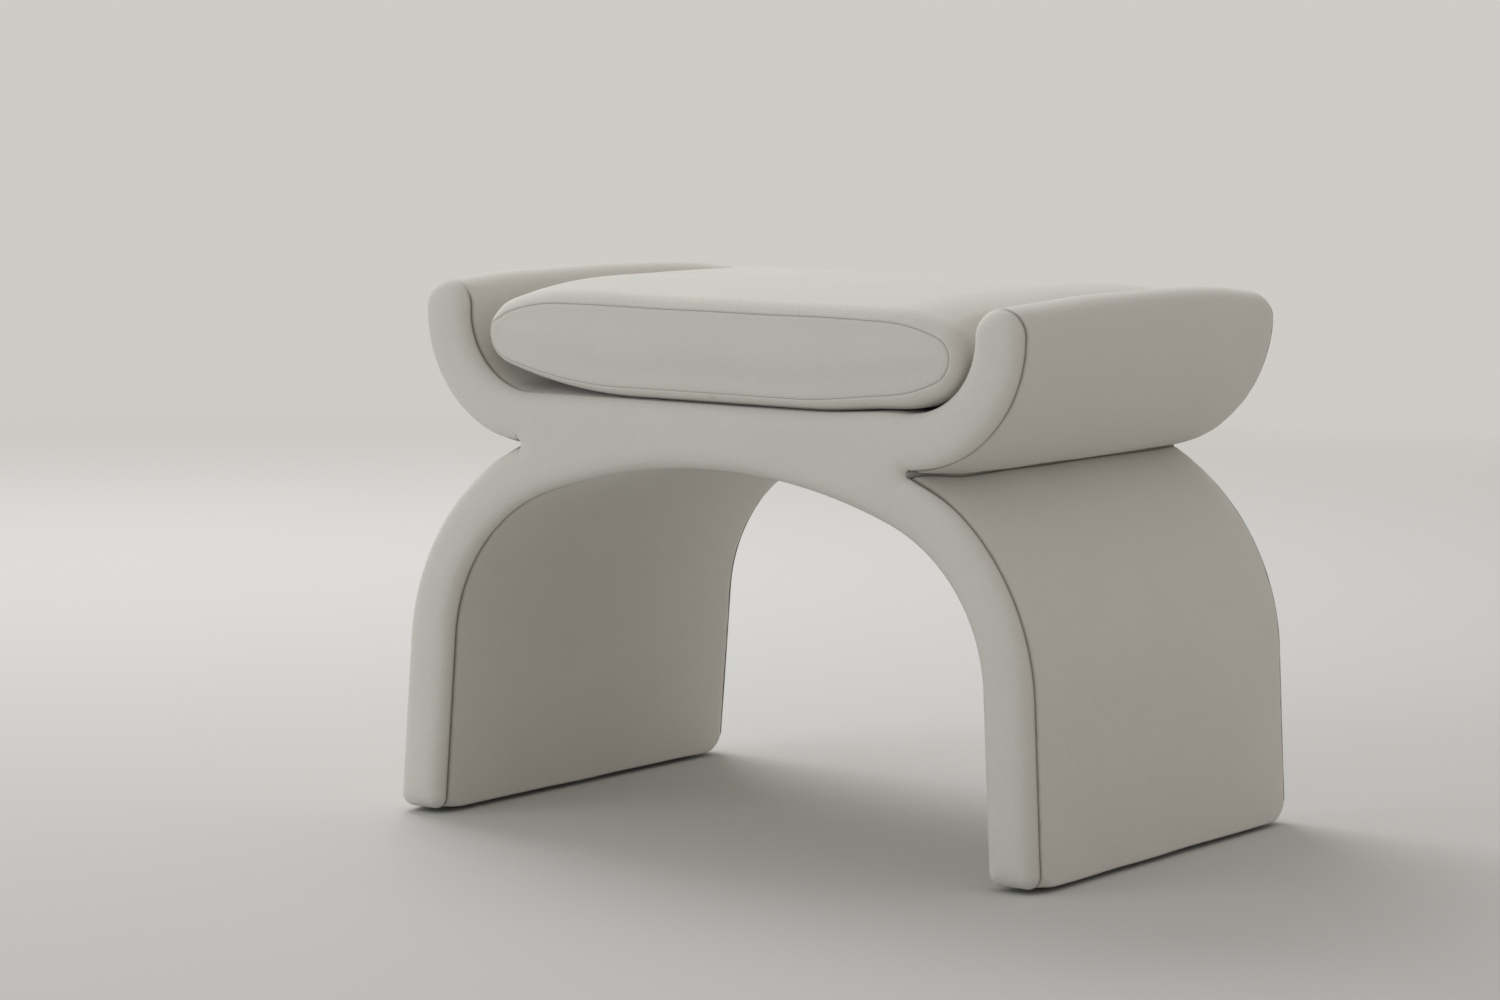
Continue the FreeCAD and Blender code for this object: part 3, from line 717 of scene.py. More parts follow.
@dataclass(frozen=True)
class WovenCloth:
    """Matte plain-weave upholstery cloth with faint slubs, with painted shade in and beside its seams."""

    name: str
    pale: Colour
    deep: Colour
    # Colour of the painted shade in and beside the seams.
    seam: Colour
    thread: float = 0.0011
    slub: Size = (90.0, 900.0, 1.0)
    mottle: Size = (14.0, 14.0, 14.0)
    fuzz: Size = (2600.0, 2600.0, 1.0)
    # How far the painted seam shade draws the cloth towards that colour.
    seam_shade_tint: float = 0.9
    relief: float = 0.00022
    sheen: float = 0.25

    def make(self) -> bpy.types.Material:
        """Builds the material."""
        board = Board(self.name)
        cloth = board.coordinates("UV")
        across, along, _ = board.parts(cloth)
        turn = math.pi / self.thread
        weave = (across * turn).sine() * (along * turn).sine()
        wide, narrow, level = self.slub
        slub_across = board.cloud(board.scaled(cloth, (wide, narrow, level)), 1.0, 2.0)
        slub_along = board.cloud(board.scaled(cloth, (narrow, wide, level)), 1.0, 2.0)
        slubs = slub_across * 0.5 + slub_along * 0.5
        mottle = board.cloud(board.scaled(cloth, self.mottle), 1.0, 4.0)
        depth = abs(weave) * 0.35 + slubs * 0.45 + mottle * 0.2
        body = board.ramp(depth, (0.25, self.deep), (0.62, self.pale))
        # Painted shade: the seam attribute draws the colour towards the dark seam colour in the grooves and
        # just past their lips.
        closeness = board.add("ShaderNodeAttribute", {"attribute_name": SEAM_SHADE_NAME}, {}, "Fac")
        fuzz = board.cloud(board.scaled(cloth, self.fuzz), 1.0, 2.0)
        height = weave * 0.5 + slubs * 0.6 + fuzz * 0.3
        return board.surface(
            Base_Color=board.tinted(closeness * self.seam_shade_tint, body, self.seam),
            Roughness=0.86 + slubs * 0.12,
            Normal=board.bump(height, 0.55, self.relief),
            Sheen_Weight=self.sheen,
            Sheen_Roughness=0.45,
            Specular_IOR_Level=0.25,
        )


@dataclass(frozen=True)
class Plywood:
    """Raw birch plywood with drawn-out grain and glue lines."""

    name: str
    pale: Colour = (0.66, 0.49, 0.31)
    dark: Colour = (0.45, 0.29, 0.15)
    ply: float = 0.0015
    grain: Size = (14.0, 120.0, 180.0)

    def make(self) -> bpy.types.Material:
        """Builds the material."""
        board = Board(self.name)
        place = board.coordinates("Object")
        _, depth, _ = board.parts(place)
        grain = board.cloud(board.scaled(place, self.grain), 1.0, 5.0, 0.65)
        plies = (depth * (math.pi / self.ply)).sine()
        return board.surface(
            Base_Color=board.ramp(grain * 0.85 + abs(plies) * 0.15, (0.3, self.dark), (0.7, self.pale)),
            Roughness=0.55 + grain * 0.3,
            Normal=board.bump(grain, 0.4, 0.0004),
        )


@dataclass(frozen=True)
class MetalSkin:
    """Plated or lacquered metal with a cloudy, rubbed skin."""

    name: str
    pale: Colour
    dark: Colour
    metallic: float
    clouds: float
    stops: tuple[float, float]
    dulling: float
    relief: float

    def make(self) -> bpy.types.Material:
        """Builds the material."""
        board = Board(self.name)
        cloud = board.cloud(board.coordinates("Object"), self.clouds, 4.0)
        return board.surface(
            Base_Color=board.ramp(cloud, (self.stops[0], self.dark), (self.stops[1], self.pale)),
            Metallic=self.metallic,
            Roughness=0.25 + cloud * self.dulling,
            Normal=board.bump(cloud, self.relief, 0.0001),
        )


@dataclass(frozen=True)
class MouldedPlastic:
    """Dark moulded plastic, scuffed and finely grained."""

    name: str
    pale: Colour = (0.060, 0.056, 0.050)
    dark: Colour = (0.022, 0.021, 0.020)

    def make(self) -> bpy.types.Material:
        """Builds the material."""
        board = Board(self.name)
        place = board.coordinates("Object")
        scuffs = board.cloud(place, 140.0, 5.0, 0.7)
        grain = board.cloud(place, 2400.0, 2.0)
        return board.surface(
            Base_Color=board.ramp(scuffs, (0.35, self.dark), (0.75, self.pale)),
            Roughness=0.38 + scuffs * 0.3,
            Normal=board.bump(grain, 0.25, 0.00015),
        )


@dataclass(frozen=True)
class BondedCloth:
    """Thin cloth of pressed fibres."""

    name: str
    pale: Colour = (0.055, 0.053, 0.050)
    dark: Colour = (0.018, 0.018, 0.018)

    def make(self) -> bpy.types.Material:
        """Builds the material."""
        board = Board(self.name)
        place = board.coordinates("Object")
        fibres = board.cloud(place, 700.0, 6.0, 0.75)
        dots = board.add("ShaderNodeTexVoronoi", {}, {"Vector": place, "Scale": 420.0}, "Distance")
        return board.surface(
            Base_Color=board.ramp(fibres, (0.3, self.dark), (0.75, self.pale)),
            Roughness=0.8 + fibres * 0.18,
            Normal=board.bump(fibres * 0.6 + dots * 0.4, 0.5, 0.0002),
        )


# Pale and deep tones of the cloth, then the colour of the painted shade in its seams.
CLOTH = WovenCloth("warm_white_cloth", (0.70, 0.675, 0.63), (0.62, 0.595, 0.545), (0.17, 0.15, 0.12))
OFF_WHITE = (0.66, 0.63, 0.57)
SOLID_FINISHES = {
    Slot.PLYWOOD: Plywood("birch_plywood"),
    Slot.STEEL: MetalSkin(
        "zinc_plate", OFF_WHITE, (0.46, 0.44, 0.40),
        metallic=1.0, clouds=260.0, stops=(0.3, 0.7), dulling=0.25, relief=0.2,
    ),
    Slot.PLASTIC: MouldedPlastic("glide_plastic"),
    Slot.ZIP_TAPE: BondedCloth("zip_tape_cloth", OFF_WHITE, (0.52, 0.49, 0.43)),
    Slot.ZIP_METAL: MetalSkin(
        "zip_lacquer", OFF_WHITE, (0.50, 0.48, 0.44),
        metallic=0.35, clouds=500.0, stops=(0.32, 0.6), dulling=0.3, relief=0.1,
    ),
    Slot.DUST_CLOTH: BondedCloth("dust_cloth"),
}


# Upholstery of the base


@dataclass(frozen=True)
class Edge:
    """How a face panel turns round on to the sides: its radius, its seam's setback, its arms' bulge."""

    radius: float
    setback: float
    bulge: float


@dataclass
class BaseUpholstery:
    """Foam panels under their cloth: two faces with turned edges, two legs, the arch and the cradle."""

    cloth: bpy.types.Material
    outline: StoolOutline
    half_depth: float = 0.218
    front_edge: Edge = Edge(0.015, 0.013, 0.0)
    rear_edge: Edge = Edge(0.020, 0.010, 0.0045)
    fill: float = 0.9

    # Faces
    face_back: float = 0.2004
    face_foot_rounding: float = 0.0115
    face_crown: float = 0.0010
    face_crown_run: tuple[float, float] = (0.006, 0.024)
    face_mesh: tuple[float, float] = (0.0045, 0.0022)
    back_mesh: tuple[float, float] = (0.020, 0.006)
    rim_end: float = math.radians(62)
    rim_rings: int = 8
    lap: float = 0.0010
    # Painted shade on the lap tucked in behind the face panels' seams.
    lap_shade: float = 0.8

    # Sides
    side_back: float = 0.0105
    foot_back: float = 0.0024
    back_run: tuple[float, float] = (0.004, 0.025)
    back_gap: float = 0.0004
    foot_blend: float = 0.022
    waist_blend: float = 0.060
    arm_roll: float = 0.0055
    leg_roll: float = 0.0035
    foot_roll: float = 0.0022
    close_rows: tuple[float, ...] = (0.0025, 0.0055, 0.0095, 0.0145)
    even_rows: float = 0.020
    row_step: float = 0.008

    # Seams
    seam_roll: float = 0.0026
    seam_hollow: float = 0.0013
    hollow_reach: float = 0.008
    seam_gap: float = 0.0002
    seam_shade_share: float = 0.75
    seam_least: float = 0.12
    seam_outer: tuple[float, float] = (-0.004, 0.006)
    seam_below: tuple[float, float] = (0.004, 0.020)
    seam_pull: float = 0.0055
    pull_reach: float = 0.034
    pull_run: tuple[float, float] = (0.003, 0.035)

    # Settled form of arms, deck and heels
    arm_crown: float = 0.0052
    crown_middle: float = 0.010
    crown_reach: float = 0.200
    crown_below_tip: float = 0.030
    crown_below_top: float = 0.004
    arm_droop: float = 0.0036
    droop_start: float = 0.130
    corner_rise: float = 0.0040
    corner_place: float = 0.172
    corner_reach: float = 0.042
    corner_below_deck: tuple[float, float] = (0.020, 0.003)
    heel: tuple[float, float] = (0.042, 0.013)
    heel_height: float = 0.070

    # Slight unevenness
    waves: float = 0.0009
    face_wave_size: float = 0.060
    face_wave_run: float = 0.006
    side_wave_size: float = 0.075
    side_wave_run: float = 0.02
    puckers: float = 0.0009
    pucker_size: float = 0.011
    pucker_reach: float = 0.010
    pucker_run: float = 0.003

    def build(self) -> None:
        """Makes and dresses every panel."""
        for face in Face:
            side = face.name.lower()
            self.dress(self.face_panel(f"{side}_upholstery", face), side)
        parts = (StoolOutline.leg, StoolOutline.arch, StoolOutline.arm)
        legs, arches, arms = [self.lines(part) for part in parts]
        left_legs = [leg.mirrored() for leg in legs]
        whole_arches = [half.mirrored() + half for half in arches]
        cradles = [half + half.mirrored() for half in arms]
        self.dress(self.strip("right_leg_upholstery", legs, self.foot_roll, self.leg_roll), "right_leg")
        self.dress(self.strip("left_leg_upholstery", left_legs, self.leg_roll, self.foot_roll), "left_leg")
        self.dress(self.strip("arch_upholstery", whole_arches, self.foot_roll, self.foot_roll), "arch")
        cradle = self.strip("cradle_upholstery", cradles, self.arm_roll, self.arm_roll)
        self.dress(cradle, "cradle", "left_arm", "right_arm")

    def dress(self, piece: bpy.types.Object, *places: str) -> None:
        """Gives a panel its cloth, and puts it over the covers and foams of some places."""
        nodes = tuple(f"{place}_{layer}" for place in places for layer in ("cover", "foam"))
        dress(piece, self.cloth, Body.BASE, nodes)

    def face_outline(self, edge: Edge) -> StoolOutline:
        """The outline with the softer feet and the higher waist of a face."""
        return replace(self.outline, foot_rounding=self.face_foot_rounding, arm_bulge=edge.bulge)

    def lines(self, part: Callable[[StoolOutline], Trace]) -> list[Trace]:
        """A part of the outline half way between the faces, at the front and at the rear."""
        faces = [self.face_outline(edge) for edge in (self.front_edge, self.rear_edge)]
        return [part(outline) for outline in (self.outline, *faces)]

    def line_at(self, lines: list[Trace], y: float) -> Trace:
        """A side panel's line at a depth.

        Args:
            lines: Its lines half way, at the front and at the rear, which it takes up towards its seams.
            y: The depth.

        Returns:
            The line between them.
        """
        middle, front_line, rear_line = lines
        front, rear = self.seams()
        away = max(0.0, min(y - front, rear - y))
        reach = np.where(middle.places[:, 1] > self.outline.leg_straight, self.waist_blend, self.foot_blend)
        return middle.blended(front_line if y < 0 else rear_line, 1 - smooth(0.0, reach, away))

    def seams(self) -> tuple[float, float]:
        """Depths of the side panels' front and rear ends."""
        front = -self.half_depth + self.front_edge.setback + self.seam_gap
        return front, self.half_depth - self.rear_edge.setback - self.seam_gap

    def edge(self, y: float) -> Edge:
        """The edge on the side of a depth."""
        return self.front_edge if y < 0 else self.rear_edge

    def edge_inset(self, depth: float | np.ndarray, edge: Edge) -> np.ndarray:
        """How far a face's rounding lies inside the outline at a distance from the middle plane."""
        past = np.maximum(0.0, depth - self.half_depth + edge.radius)
        return edge.radius - np.sqrt(edge.radius ** 2 - past ** 2)

    def pull(self, places: np.ndarray) -> np.ndarray:
        """How much further forward the front seam lies at places of the outline: it ends in the crease."""
        crease = self.face_outline(self.front_edge).crease()
        away = np.linalg.norm(np.abs(places) - crease, axis=1)
        return self.seam_pull * hump(away, 0.0, self.pull_reach)

    def seam_strength(self, places: np.ndarray) -> np.ndarray:
        """How deep a seam is drawn in at places of the outline: it nearly closes over the arms' tops."""
        x, z = self.outline.tip
        outer = smooth(x + self.seam_outer[0], x + self.seam_outer[1], np.abs(places[:, 0]))
        below = 1 - smooth(z + self.seam_below[0], z + self.seam_below[1], places[:, 1])
        return self.seam_least + (1 - self.seam_least) * np.maximum(outer, below)

    def seam_shade(self, away: float) -> float:
        """Closeness to a seam at a distance from it, from 1 in its groove to 0 past its lips."""
        return math.exp(-(away / (self.seam_shade_share * self.seam_roll)) ** 2)

    def crowned(self, insets: np.ndarray) -> np.ndarray:
        """How far a face stands out at distances inside its rim, past its rounding."""
        return self.face_crown * smooth(*self.face_crown_run, insets)

    def settle(self, points: np.ndarray) -> np.ndarray:
        """Arches the arms' tops, fills the right-hand bend of the cradle and rounds the heels off.

        Args:
            points: Points in space.

        Returns:
            The moved points.
        """
        outline = self.outline
        x, y, z = points.T
        near = smooth(self.droop_start, self.half_depth, y)
        arched = 1 - ((y - self.crown_middle) / self.crown_reach) ** 2
        high = smooth(outline.tip[1] - self.crown_below_tip, outline.arm_height - self.crown_below_top, z)
        arms = high * (self.arm_crown * arched - self.arm_droop * near)
        low, top = outline.deck - np.array(self.corner_below_deck)
        corner = self.corner_rise * hump(x, self.corner_place, self.corner_reach) * smooth(low, top, z)
        length, rise = self.heel
        share = np.clip(1 - (self.half_depth - y) / length, 0.0, 1.0)
        foot = 1 - smooth(outline.foot, outline.foot + self.heel_height, z)
        heels = foot * rise * (1 - np.sqrt(1 - share ** 2))
        return np.stack([x, y, z + arms + corner + heels], axis=1)

    def side_rows(self) -> list[Ring]:
        """(depth, turn at the seam, hollow towards it) of a side panel's rows from front to rear."""
        front, rear = self.seams()
        roll = edge_roll(self.seam_roll)
        first = front + self.seam_roll
        last = rear - self.seam_roll
        count = math.ceil((last - first - 2 * self.even_rows) / self.row_step)
        depths = [first, *[first + step for step in self.close_rows]]
        depths += [*np.linspace(first + self.even_rows, last - self.even_rows, count + 1)]
        depths += [*[last - step for step in self.close_rows[::-1]], last]
        rows = [(front + away, turn) for away, turn in roll]
        rows += [(y, 0.0) for y in depths]
        rows += [(rear - away, turn) for away, turn in roll[::-1]]
        return [
            (y, turn, self.seam_hollow * math.exp(-min(y - front, rear - y) / self.hollow_reach))
            for y, turn in rows
        ]

    def strip(self, name: str, lines: list[Trace], start_roll: float, end_roll: float) -> bpy.types.Object:
        """A side panel: its line swept from seam to seam, with a foam back.

        Args:
            name: The piece's name.
            lines: The panel's line half way between the faces, at the front and at the rear.
            start_roll: Radius of the turned-in start.
            end_roll: Radius of the turned-in end.

        Returns:
            The closed panel.
        """
        trace = lines[0]
        runs = trace.runs()
        left = runs[-1] - runs
        rows = self.side_rows()
        front, rear = self.seams()
        strength = self.seam_strength(trace.places)
        pull = self.pull(trace.places)
        roll = np.maximum(end_turn(runs, start_roll), end_turn(left, end_roll))
        foam = (self.side_back - self.foot_back) * smooth(*self.back_run, np.minimum(runs, left))
        back = np.maximum(self.foot_back + foam, roll) + self.back_gap
        skin = Skin()
        for y, turn, hollow in rows:
            depths = y - pull * (1 - smooth(front + self.pull_run[0], front + self.pull_run[1], y))
            drop = np.maximum(roll, turn * strength) + hollow * strength
            places = self.line_at(lines, y).inset(drop + self.edge_inset(np.abs(depths), self.edge(y)))
            skin.add(places, depths, strength * self.seam_shade(min(y - front, rear - y)), runs)
        limit = self.face_back - self.back_gap
        for (y, _, _), depth in zip(rows, np.linspace(-limit, limit, len(rows))):
            skin.add(self.line_at(lines, y).inset(back), depth, runs=runs)
        points = skin.points
        below = len(points) // 2
        normals = np.tile(trace.normals, (len(rows), 1))
        points[:below] += self.drape(points[:below], normals, skin.seam[:below])
        return skin.piece(name, self.settle(points), self.slab_faces(len(runs), len(rows)))

    def slab_faces(self, columns: int, rows: int) -> list[Corners]:
        """Faces of a closed slab: an outer grid, an inner one stored after it, and the walls between."""
        outer = grid_faces(columns, rows, False)
        below = columns * rows
        border = [*range(columns)]
        border += [row * columns + columns - 1 for row in range(1, rows)]
        border += [below - 1 - column for column in range(1, columns)]
        border += [row * columns for row in range(rows - 2, 0, -1)]
        inner = [tuple(corner + below for corner in quad[::-1]) for quad in outer]
        walls = [(b, a, a + below, b + below) for a, b in zip(border, border[1:] + border[:1])]
        return outer + inner + walls

    def drape(self, points: np.ndarray, normals: np.ndarray, seam: np.ndarray) -> np.ndarray:
        """Slight unevenness of cloth over foam, with puckers along the seams.

        Args:
            points: A side panel's outer points.
            normals: Their normals in the front view.
            seam: Closeness to a seam.

        Returns:
            Moves of the points.
        """
        setback = np.where(points[:, 1] < 0, self.front_edge.setback, self.rear_edge.setback)
        away = np.maximum(self.half_depth - setback - np.abs(points[:, 1]), 0.0)
        waves = self.waves * unevenness(points, self.side_wave_size) * smooth(0.0, self.side_wave_run, away)
        puckers = self.puckers * unevenness(points, self.pucker_size) * np.exp(-away / self.pucker_reach)
        move = (waves + puckers * smooth(0.0, self.pucker_run, away)) * (1 - seam)
        return np.stack([normals[:, 0] * move, np.zeros(len(move)), normals[:, 1] * move], axis=1)

    def face_rings(self, edge: Edge) -> list[Ring]:
        """(depth, drop below the rounding, closeness to the seam) of a face's rings from its back out."""
        seam_y = self.half_depth - edge.setback + self.seam_gap
        lap_ends = (self.face_back, seam_y - self.lap)
        rings = [(depth, self.seam_roll + self.lap, self.lap_shade) for depth in lap_ends]
        rings += [(seam_y + away, drop, self.seam_shade(away)) for away, drop in edge_roll(self.seam_roll)]
        first = math.asin((seam_y + self.seam_roll - self.half_depth + edge.radius) / edge.radius)
        for angle in np.linspace(first, self.rim_end, self.rim_rings):
            depth = self.half_depth - edge.radius * (1 - math.sin(angle))
            rings.append((depth, 0.0, self.seam_shade(depth - seam_y)))
        return rings

    def face_panel(self, name: str, face: Face) -> bpy.types.Object:
        """The front or rear panel, turned round the edge to its seam, with its foam.

        Args:
            name: The piece's name.
            face: Which of the two.

        Returns:
            The closed panel.
        """
        edge = self.edge(face.value)
        rim = self.face_outline(edge).rim()
        rings = self.face_rings(edge)
        count = len(rim.places)
        strength = self.seam_strength(rim.places)
        pull = self.pull(rim.places) if face is Face.FRONT else np.zeros(count)
        lap_end, roll_end, rim_end = [rings[number][0] for number in (1, 1 + ROLL_STEPS, -1)]
        skin = Skin()
        for depth, drop, closeness in rings:
            near = smooth(self.face_back, lap_end, depth) * (1 - smooth(roll_end, rim_end, depth))
            depths = depth + pull * near
            insets = self.edge_inset(depths, edge)
            places = rim.inset(insets + drop * strength)
            skin.add(places, depths + self.crowned(insets), strength * closeness)
        lattice, front_triangles = fill_loop(skin.weave[-1], *self.face_mesh)
        insets = distance_to(rim.places, lattice)
        side = np.clip(edge.radius - insets, 0.0, edge.radius)
        rise = np.sqrt(edge.radius ** 2 - side ** 2)
        skin.add(lattice, self.half_depth - edge.radius + rise + self.crowned(insets))
        back, back_triangles = fill_loop(skin.weave[0], *self.back_mesh)
        skin.add(back, self.face_back)
        last = count * (len(rings) - 1)
        past_front = last + len(lattice)
        faces = grid_faces(count, len(rings), True)
        faces += [tuple(c + last for c in corners) for corners in front_triangles]
        faces += [tuple(c if c < count else c + past_front for c in corners) for corners in back_triangles]
        points = skin.points
        outer = smooth(self.half_depth - self.face_wave_run, self.half_depth, points[:, 1])
        points[:, 1] += outer * self.waves * unevenness(points, self.face_wave_size)
        points[:, 1] *= face.value
        return skin.piece(name, self.settle(points), faces)


@dataclass
class CreaseRolls:
    """Covered cords that close the waist's creases from behind, their cloth darkened by painted shade."""

    cloth: bpy.types.Material
    base: BaseUpholstery
    radius: float = 0.0050
    depth: float = 0.0054
    ends: tuple[float, float] = (-0.2120, 0.2100)
    # Painted shade: the rolls' cloth is drawn half way towards the seam colour, darker in the crease.
    closeness: float = 0.5
    sides: int = 20
    rows: int = 52

    def build(self) -> None:
        """Makes one roll for each side."""
        lines = self.base.lines(StoolOutline.fold)
        angles = np.linspace(0.0, math.tau, self.sides, endpoint=False)
        ring = self.radius * np.stack([np.cos(angles), np.sin(angles)], axis=1)
        for side, sign in SIDES:
            skin = Skin()
            for y in np.linspace(*self.ends, self.rows):
                behind = self.depth + float(self.base.edge_inset(abs(y), self.base.edge(y)))
                middle = self.base.line_at(lines, y).places.mean(axis=0) - [behind, 0.0]
                skin.add((middle + ring) * [sign, 1.0], y, self.closeness, self.radius * angles)
            faces = grid_faces(self.sides, self.rows, True)
            starts = (0, (self.rows - 1) * self.sides)
            faces += [tuple(range(first, first + self.sides)) for first in starts]
            piece = skin.piece(f"{side}_crease_roll", skin.points, faces)
            dress(piece, self.cloth, Body.BASE)


# Loose cushion


@dataclass(frozen=True)
class Stuffing:
    """Foam that swells under its cloth, worked out by blowing the piece up between its seams."""

    pressure: float
    reach: float
    frames: int = 20

    def swell(self, piece: bpy.types.Object, held: np.ndarray) -> None:
        """Args:
            piece: The closed piece.
            held: From 0, free, to 1, fixed, for each point.
        """
        trial = piece.copy()
        trial.data = piece.data.copy()
        bpy.context.scene.collection.objects.link(trial)
        group = trial.vertex_groups.new(name="held")
        for number, weight in enumerate(held):
            group.add([number], float(weight), "REPLACE")
        cloth = trial.modifiers.new("cloth", "CLOTH")
        cloth.settings.vertex_group_mass = group.name
        cloth.settings.use_pressure = True
        cloth.settings.uniform_pressure_force = self.pressure
        cloth.settings.effector_weights.gravity = 0.0
        cloth.collision_settings.use_collision = False
        cloth.point_cache.frame_end = self.frames
        for number in range(1, self.frames + 1):
            bpy.context.scene.frame_set(number)
        graph = bpy.context.evaluated_depsgraph_get()
        swollen = point_array(trial.evaluated_get(graph).data)
        bpy.data.objects.remove(trial)
        bpy.context.scene.frame_set(1)
        start = point_array(piece.data)
        move = swollen - start
        length = np.maximum(np.linalg.norm(move, axis=1), TINY)[:, None]
        capped = move / length * self.reach * np.tanh(length / self.reach)
        piece.data.vertices.foreach_set("co", (start + capped).astype(np.float32).ravel())
        piece.data.update()
        furthest = float(np.linalg.norm(capped, axis=1).max())
        LOG.info("%s: swelled by up to %.1f mm", piece.name, 1000 * furthest)


@dataclass
class SeatCushion:
    """Oval cushion: a band sewn to a flat cap at each end, stuffed until its top crowns."""

    cloth: bpy.types.Material
    stuffing: Stuffing = Stuffing(4.0, 0.0035)
    fill: float = 0.85

    # Oval
    seat: float = 0.3653
    half_width: float = 0.2315
    half_depth: float = 0.2085
    height: float = 0.086
    end_radius: float = 0.029
    end_height: float = 0.048
    low_shoulder: float = 0.420
    high_shoulder: float = 0.150
    step: float = 0.005

    # Band and caps
    edge_radius: float = 0.020
    edge_rings: int = 7
    ring_step: float = 0.008
    cap_inset: float = 0.011
    cap_gap: float = 0.0003
    cap_insets: tuple[float, ...] = (0.020, 0.017, 0.0145)
    cap_lip: float = 0.0006
    cap_swell: float = 0.0030
    cap_swell_end: float = 0.042
    cap_mesh: tuple[float, float] = (0.0042, 0.002)
    seam_roll: float = 0.0020
    shade_start: float = 0.0004

    # Stuffed form, with tilts from the level in degrees
    crown: float = 0.0016
    crown_tilts: tuple[float, float] = (20.0, 85.0)
    shoulder_crown: float = 0.0060
    shoulder_tilt: tuple[float, float] = (72.0, 18.0)
    draw: float = 0.0025
    draw_tilt: float = 25.0
    fullness_power: int = 5
    left_ease: float = 0.45
    ease_way: tuple[float, float] = (-0.85, -0.5)
    ease_run: tuple[float, float] = (0.2, 0.8)
    waves: float = 0.0014
    wave_size: float = 0.085
    hold_height: tuple[float, float] = (0.004, 0.030)
    seam_hold: tuple[float, float] = (0.004, 0.030)
    cap_hold: tuple[float, float] = (0.015, 0.040)
    cap_start: float = 0.001

    # How it lies
    shift: float = 0.0065
    overhang: float = 0.009
    overhang_run: tuple[float, float] = (0.06, 0.18)
    sag: float = 0.0065
    sag_place: float = 0.200
    sag_reach: float = 0.035
    sag_height: tuple[float, float] = (0.010, 0.045)

    # Zip in the rear cap
    zip_size: tuple[float, float] = (0.022, 0.300)
    zip_margin: tuple[float, float] = (0.009, 0.012)
    zip_sink: float = 0.0002

    @property
    def seam_angle(self) -> float:
        """Where on the round edge a cap's seam lies."""
        return math.acos(1 - self.cap_inset / self.edge_radius)

    @property
    def seam_y(self) -> float:
        """How far from the middle plane a cap's seam lies."""
        return self.half_depth - self.edge_radius + self.edge_radius * math.sin(self.seam_angle)

    def section(self) -> Trace:
        """The closed oval that the band follows."""
        end = np.array([self.half_width - self.end_radius, self.seat + self.end_height])
        low_gap = self.low_shoulder - self.end_radius
        high_gap = self.high_shoulder - self.end_radius
        low_run = math.sqrt(low_gap ** 2 - (self.low_shoulder - self.end_height) ** 2)
        high_run = math.sqrt(high_gap ** 2 - (self.high_shoulder + self.end_height - self.height) ** 2)
        low = np.array([end[0] - low_run, self.seat + self.low_shoulder])
        high = np.array([end[0] - high_run, self.seat + self.height - self.high_shoulder])
        low_angle = math.atan2(end[1] - low[1], end[0] - low[0])
        high_angle = math.atan2(end[1] - high[1], end[0] - high[0])
        bottom = low - [0.0, self.low_shoulder]
        top = high + [0.0, self.high_shoulder]
        low_arc = spread(-math.pi / 2, low_angle, self.low_shoulder, self.step)
        end_arc = spread(low_angle, high_angle, self.end_radius, self.step)
        high_arc = spread(high_angle, math.pi / 2, self.high_shoulder, self.step)
        half = (
            straight(np.array([0.0, self.seat]), bottom, math.ceil(bottom[0] / self.step))
            + curved(low, self.low_shoulder, low_arc)
            + curved(end, self.end_radius, end_arc)
            + curved(high, self.high_shoulder, high_arc)
            + straight(top, np.array([0.0, self.seat + self.height]), math.ceil(top[0] / self.step))
        )
        return half.closed()

    def zip_channel(self, places: np.ndarray) -> np.ndarray:
        """Where the rear cap is held flat by the zip's tape, from 0 to 1."""
        away = np.abs(places[:, ::-1] - [self.seat + self.height / 2, -self.shift])
        half = np.array(self.zip_size) / 2
        return np.prod(1 - smooth(half, half + self.zip_margin, away), axis=1)

    def fullness(self, section: Trace) -> np.ndarray:
        """How far the stuffing pushes each place of the oval out at half depth: less at the ends."""
        tilt = np.degrees(np.arctan2(section.normals[:, 1], np.abs(section.normals[:, 0])))
        top = self.crown * smooth(*self.crown_tilts, tilt)
        shoulder = self.shoulder_crown * hump(tilt, *self.shoulder_tilt)
        return top + shoulder - self.draw * hump(tilt, 0.0, self.draw_tilt)

    def shade(self, drop: float) -> float:
        """Closeness to a seam by the depth of its groove."""
        return float(smooth(self.shade_start, self.seam_roll, drop))

    def rings(self) -> list[Ring]:
        """(inset, depth, closeness to the seam) from a cap's edge over the band to the middle."""
        inner = self.half_depth - self.edge_radius
        rolled = [
            (self.seam_angle - away / self.edge_radius, self.edge_radius - drop, self.shade(drop))
            for away, drop in edge_roll(self.seam_roll)
        ]
        first = self.seam_angle - self.seam_roll / self.edge_radius
        rolled += [(angle, self.edge_radius, 0.0) for angle in np.linspace(first, 0.0, self.edge_rings)]
        rings = [
            (self.edge_radius - radius * math.cos(angle), inner + radius * math.sin(angle), closeness)
            for angle, radius, closeness in rolled
        ]
        count = math.ceil(inner / self.ring_step)
        return rings + [(0.0, depth, 0.0) for depth in np.linspace(inner, 0.0, count + 1)[1:]]

    def cap_rings(self) -> list[Ring]:
        """(inset, depth, closeness to the seam) from inside a cap out to its seam."""
        rings = [(inset, self.cap_depth(inset), 0.0) for inset in self.cap_insets]
        for away, drop in edge_roll(self.seam_roll)[::-1]:
            rings.append((self.cap_inset + self.cap_gap + away, self.seam_y - drop, self.shade(drop)))
        return rings

    def cap_depth(self, inset: float | np.ndarray) -> float | np.ndarray:
        """How far out a cap stands at a distance inside the oval."""
        share = smooth(self.cap_inset + self.seam_roll, self.cap_swell_end, inset)
        return self.seam_y + self.cap_lip + (self.half_depth - self.seam_y + self.cap_swell) * share

